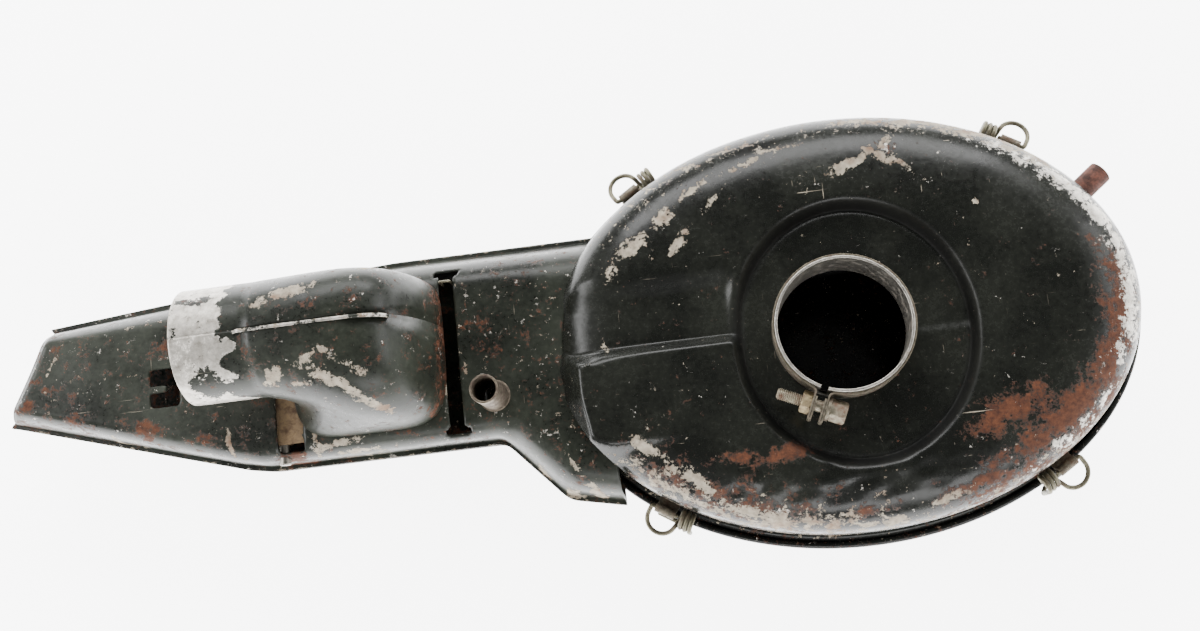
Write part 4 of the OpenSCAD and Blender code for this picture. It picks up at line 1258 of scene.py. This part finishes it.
# %% Flap and shaft
flap_lo, flap_hi = box_mm("flap_plate")
shaft_lo, shaft_hi = box_mm("flap_shaft")
shaft_mid = (shaft_lo + shaft_hi) / 2
curl = [(shaft_mid[0] + 3.1 * math.cos(a),
         shaft_mid[2] + 3.1 * math.sin(a)) for a in np.radians(np.linspace(90, 425, 30))]
blade_x = np.linspace(flap_hi[0], shaft_mid[0] + 0.3, 24)
blade = np.stack([blade_x, np.full(24, shaft_mid[2] + 3.1)], -1)
flap_path = np.concatenate([blade, curl])
pull_in = 4 * ease((blade_x - (flap_hi[0] - 4)) / 4) ** 2
narrow = np.concatenate([pull_in, np.zeros(len(curl))])
level_place = frame_at((0, 0, 0), 0)
flap = strip("flap_sheet", flap_path, flap_lo[1] + narrow, flap_hi[1] - narrow, level_place, 1.15,
             upright=False)
finish(flap, flap_rust, "flap", "rusty_steel", "flap_plate")
rod = [[0.02, 0], [2.1, 0], [2.48, 0.5], [2.48, shaft_hi[1] - shaft_lo[1] - 0.5],
       [2.1, shaft_hi[1] - shaft_lo[1]],
       [0.02, shaft_hi[1] - shaft_lo[1]]]
shaft = turned("flap_rod", rod, (shaft_mid[0], shaft_lo[1], shaft_mid[2]), (0, 1, 0), 40)
finish(shaft, shaft_steel, "flap", "zinc", "flap_shaft")

# %% [markdown]
# ## Seams
#
# The horn's two halves meet at a folded edge, which stands up along the outside of the bend.

# %% Horn seam
seam_path = np.linspace(0.80, 1.62, 60)[:, None]
seam_height = 2.3 * ease((seam_path - 0.80) / 0.1) * ease((1.66 - seam_path) / 0.1)
seam_foot = horn_surface(seam_path, np.full((1, 1), math.pi / 2))[:, 0]
seam_room = np.maximum(south_hi[2] - 0.1 - seam_foot[:, 2:], 0.2)
seam_height = np.minimum(seam_height, seam_room)
seam_edge = np.stack([horn_surface(p, np.full((1, 1), math.pi / 2), h)[0, 0] for p,
                      h in zip(seam_path, seam_height.ravel())])
seam_points = np.stack([seam_foot - (seam_edge - seam_foot) * 0.4, seam_foot, (seam_foot + seam_edge) / 2,
                        seam_edge], 1)
outer_edge = np.broadcast_to(np.array([-1, -1, 0.1, 0.75]), seam_points.shape[:2])
seam_fields = {"bare": outer_edge + 0.3 * soft_noise(seam_points[..., 0], seam_points[..., 2], 9, 41),
               "chip": outer_edge - 0.6}
seam = make_object("horn_seam_fold", seam_points - np.array([0, 0.9, 0]), grid_faces(60, 4), seam_fields,
                   sharp=50)
give_thickness(seam, 1.4, 0, even=False)
finish(seam, duct_enamel, "housing", "black_paint")

# %% [markdown]
# ## Floor, light and camera
#
# The housing lies on its lid on a plain white sheet in a white room. Black paint shows mostly what it
# reflects, so a dark card hangs overhead, where the flat faces look, and bright panels stand low around it,
# where only the pressed edges look.

# %% Floor and background
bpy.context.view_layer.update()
floor_z = cad_box[0].z
floor_half = 12.0
floor_mesh = bpy.data.meshes.new("floor")
floor_mesh.from_pydata([(sx * floor_half, sy * floor_half, floor_z - 0.0004) for sx, sy in
                        ((-1, -1), (1, -1), (1, 1), (-1, 1))], [], [(0, 1, 2, 3)])
ground = bpy.data.objects.new("floor", floor_mesh)
bpy.context.scene.collection.objects.link(ground)
paper_white, _, paper_shader, _ = new_material("white paper sheet")
paper_shader.inputs["Base Color"].default_value = srgb("ffffff")
paper_shader.inputs["Roughness"].default_value = 0.9
paper_shader.inputs["Emission Color"].default_value = (1, 1, 1, 1)
paper_shader.inputs["Emission Strength"].default_value = 6.0
floor_mesh.materials.append(paper_white)

world = bpy.data.worlds.new("white room")
bpy.context.scene.world = world
world.use_nodes = True
world.node_tree.nodes["Background"].inputs["Color"].default_value = (1, 1, 1, 1)
world.node_tree.nodes["Background"].inputs["Strength"].default_value = 0.55

# %% Dark card
card_mesh = bpy.data.meshes.new("card")
card_mesh.from_pydata([(-0.5, -0.35, 0.72), (0.62, -0.35, 0.72), (0.62, 0.5, 0.72), (-0.5, 0.5, 0.72)], [],
                      [(0, 1, 2, 3)])
card = bpy.data.objects.new("card", card_mesh)
bpy.context.scene.collection.objects.link(card)
card_black, _, card_shader, _ = new_material("black velvet card")
card_shader.inputs["Base Color"].default_value = srgb("151515")
card_shader.inputs["Roughness"].default_value = 1.0
card_mesh.materials.append(card_black)


# %% Lights
def panel(name, place, aim, size, power):
    """Rectangular light of the given width and height in metres, facing the aim point."""
    lamp = bpy.data.lights.new(name, "AREA")
    lamp.shape = "RECTANGLE"
    lamp.size, lamp.size_y = size
    lamp.energy = power
    made = bpy.data.objects.new(name, lamp)
    made.location = place
    made.rotation_euler = (Vector(aim) - Vector(place)).to_track_quat("-Z", "Y").to_euler()
    bpy.context.scene.collection.objects.link(made)
    return made


aim_point = (-0.08, 0.01, -0.03)
panel("north panel", (0.0, 1.1, 0.75), aim_point, (1.6, 0.5), 30)
panel("left panel", (-1.2, 0.1, 0.6), aim_point, (0.9, 0.5), 17)
panel("right panel", (1.1, 0.2, 0.6), aim_point, (0.9, 0.5), 9)
panel("front panel", (0.1, -1.0, 0.6), aim_point, (1.2, 0.4), 13)

# %% Camera
lens = bpy.data.cameras.new("camera")
lens.sensor_width = 36.0
lens.lens = 39.0
lens.clip_start = 0.01
eye = bpy.data.objects.new("camera", lens)
look = Vector((-0.08950, 0.19934, -0.97583)).normalized()
right = Vector((0.98799, -0.10611, -0.11229))
right = (right - look * right.dot(look)).normalized()
up = right.cross(look)
eye.matrix_world = Matrix((
    (right.x, up.x, -look.x, -0.0486), (right.y, up.y, -look.y, -0.0884), (right.z, up.z, -look.z, 0.507),
    (0, 0, 0, 1)))
bpy.context.scene.collection.objects.link(eye)
bpy.context.scene.camera = eye
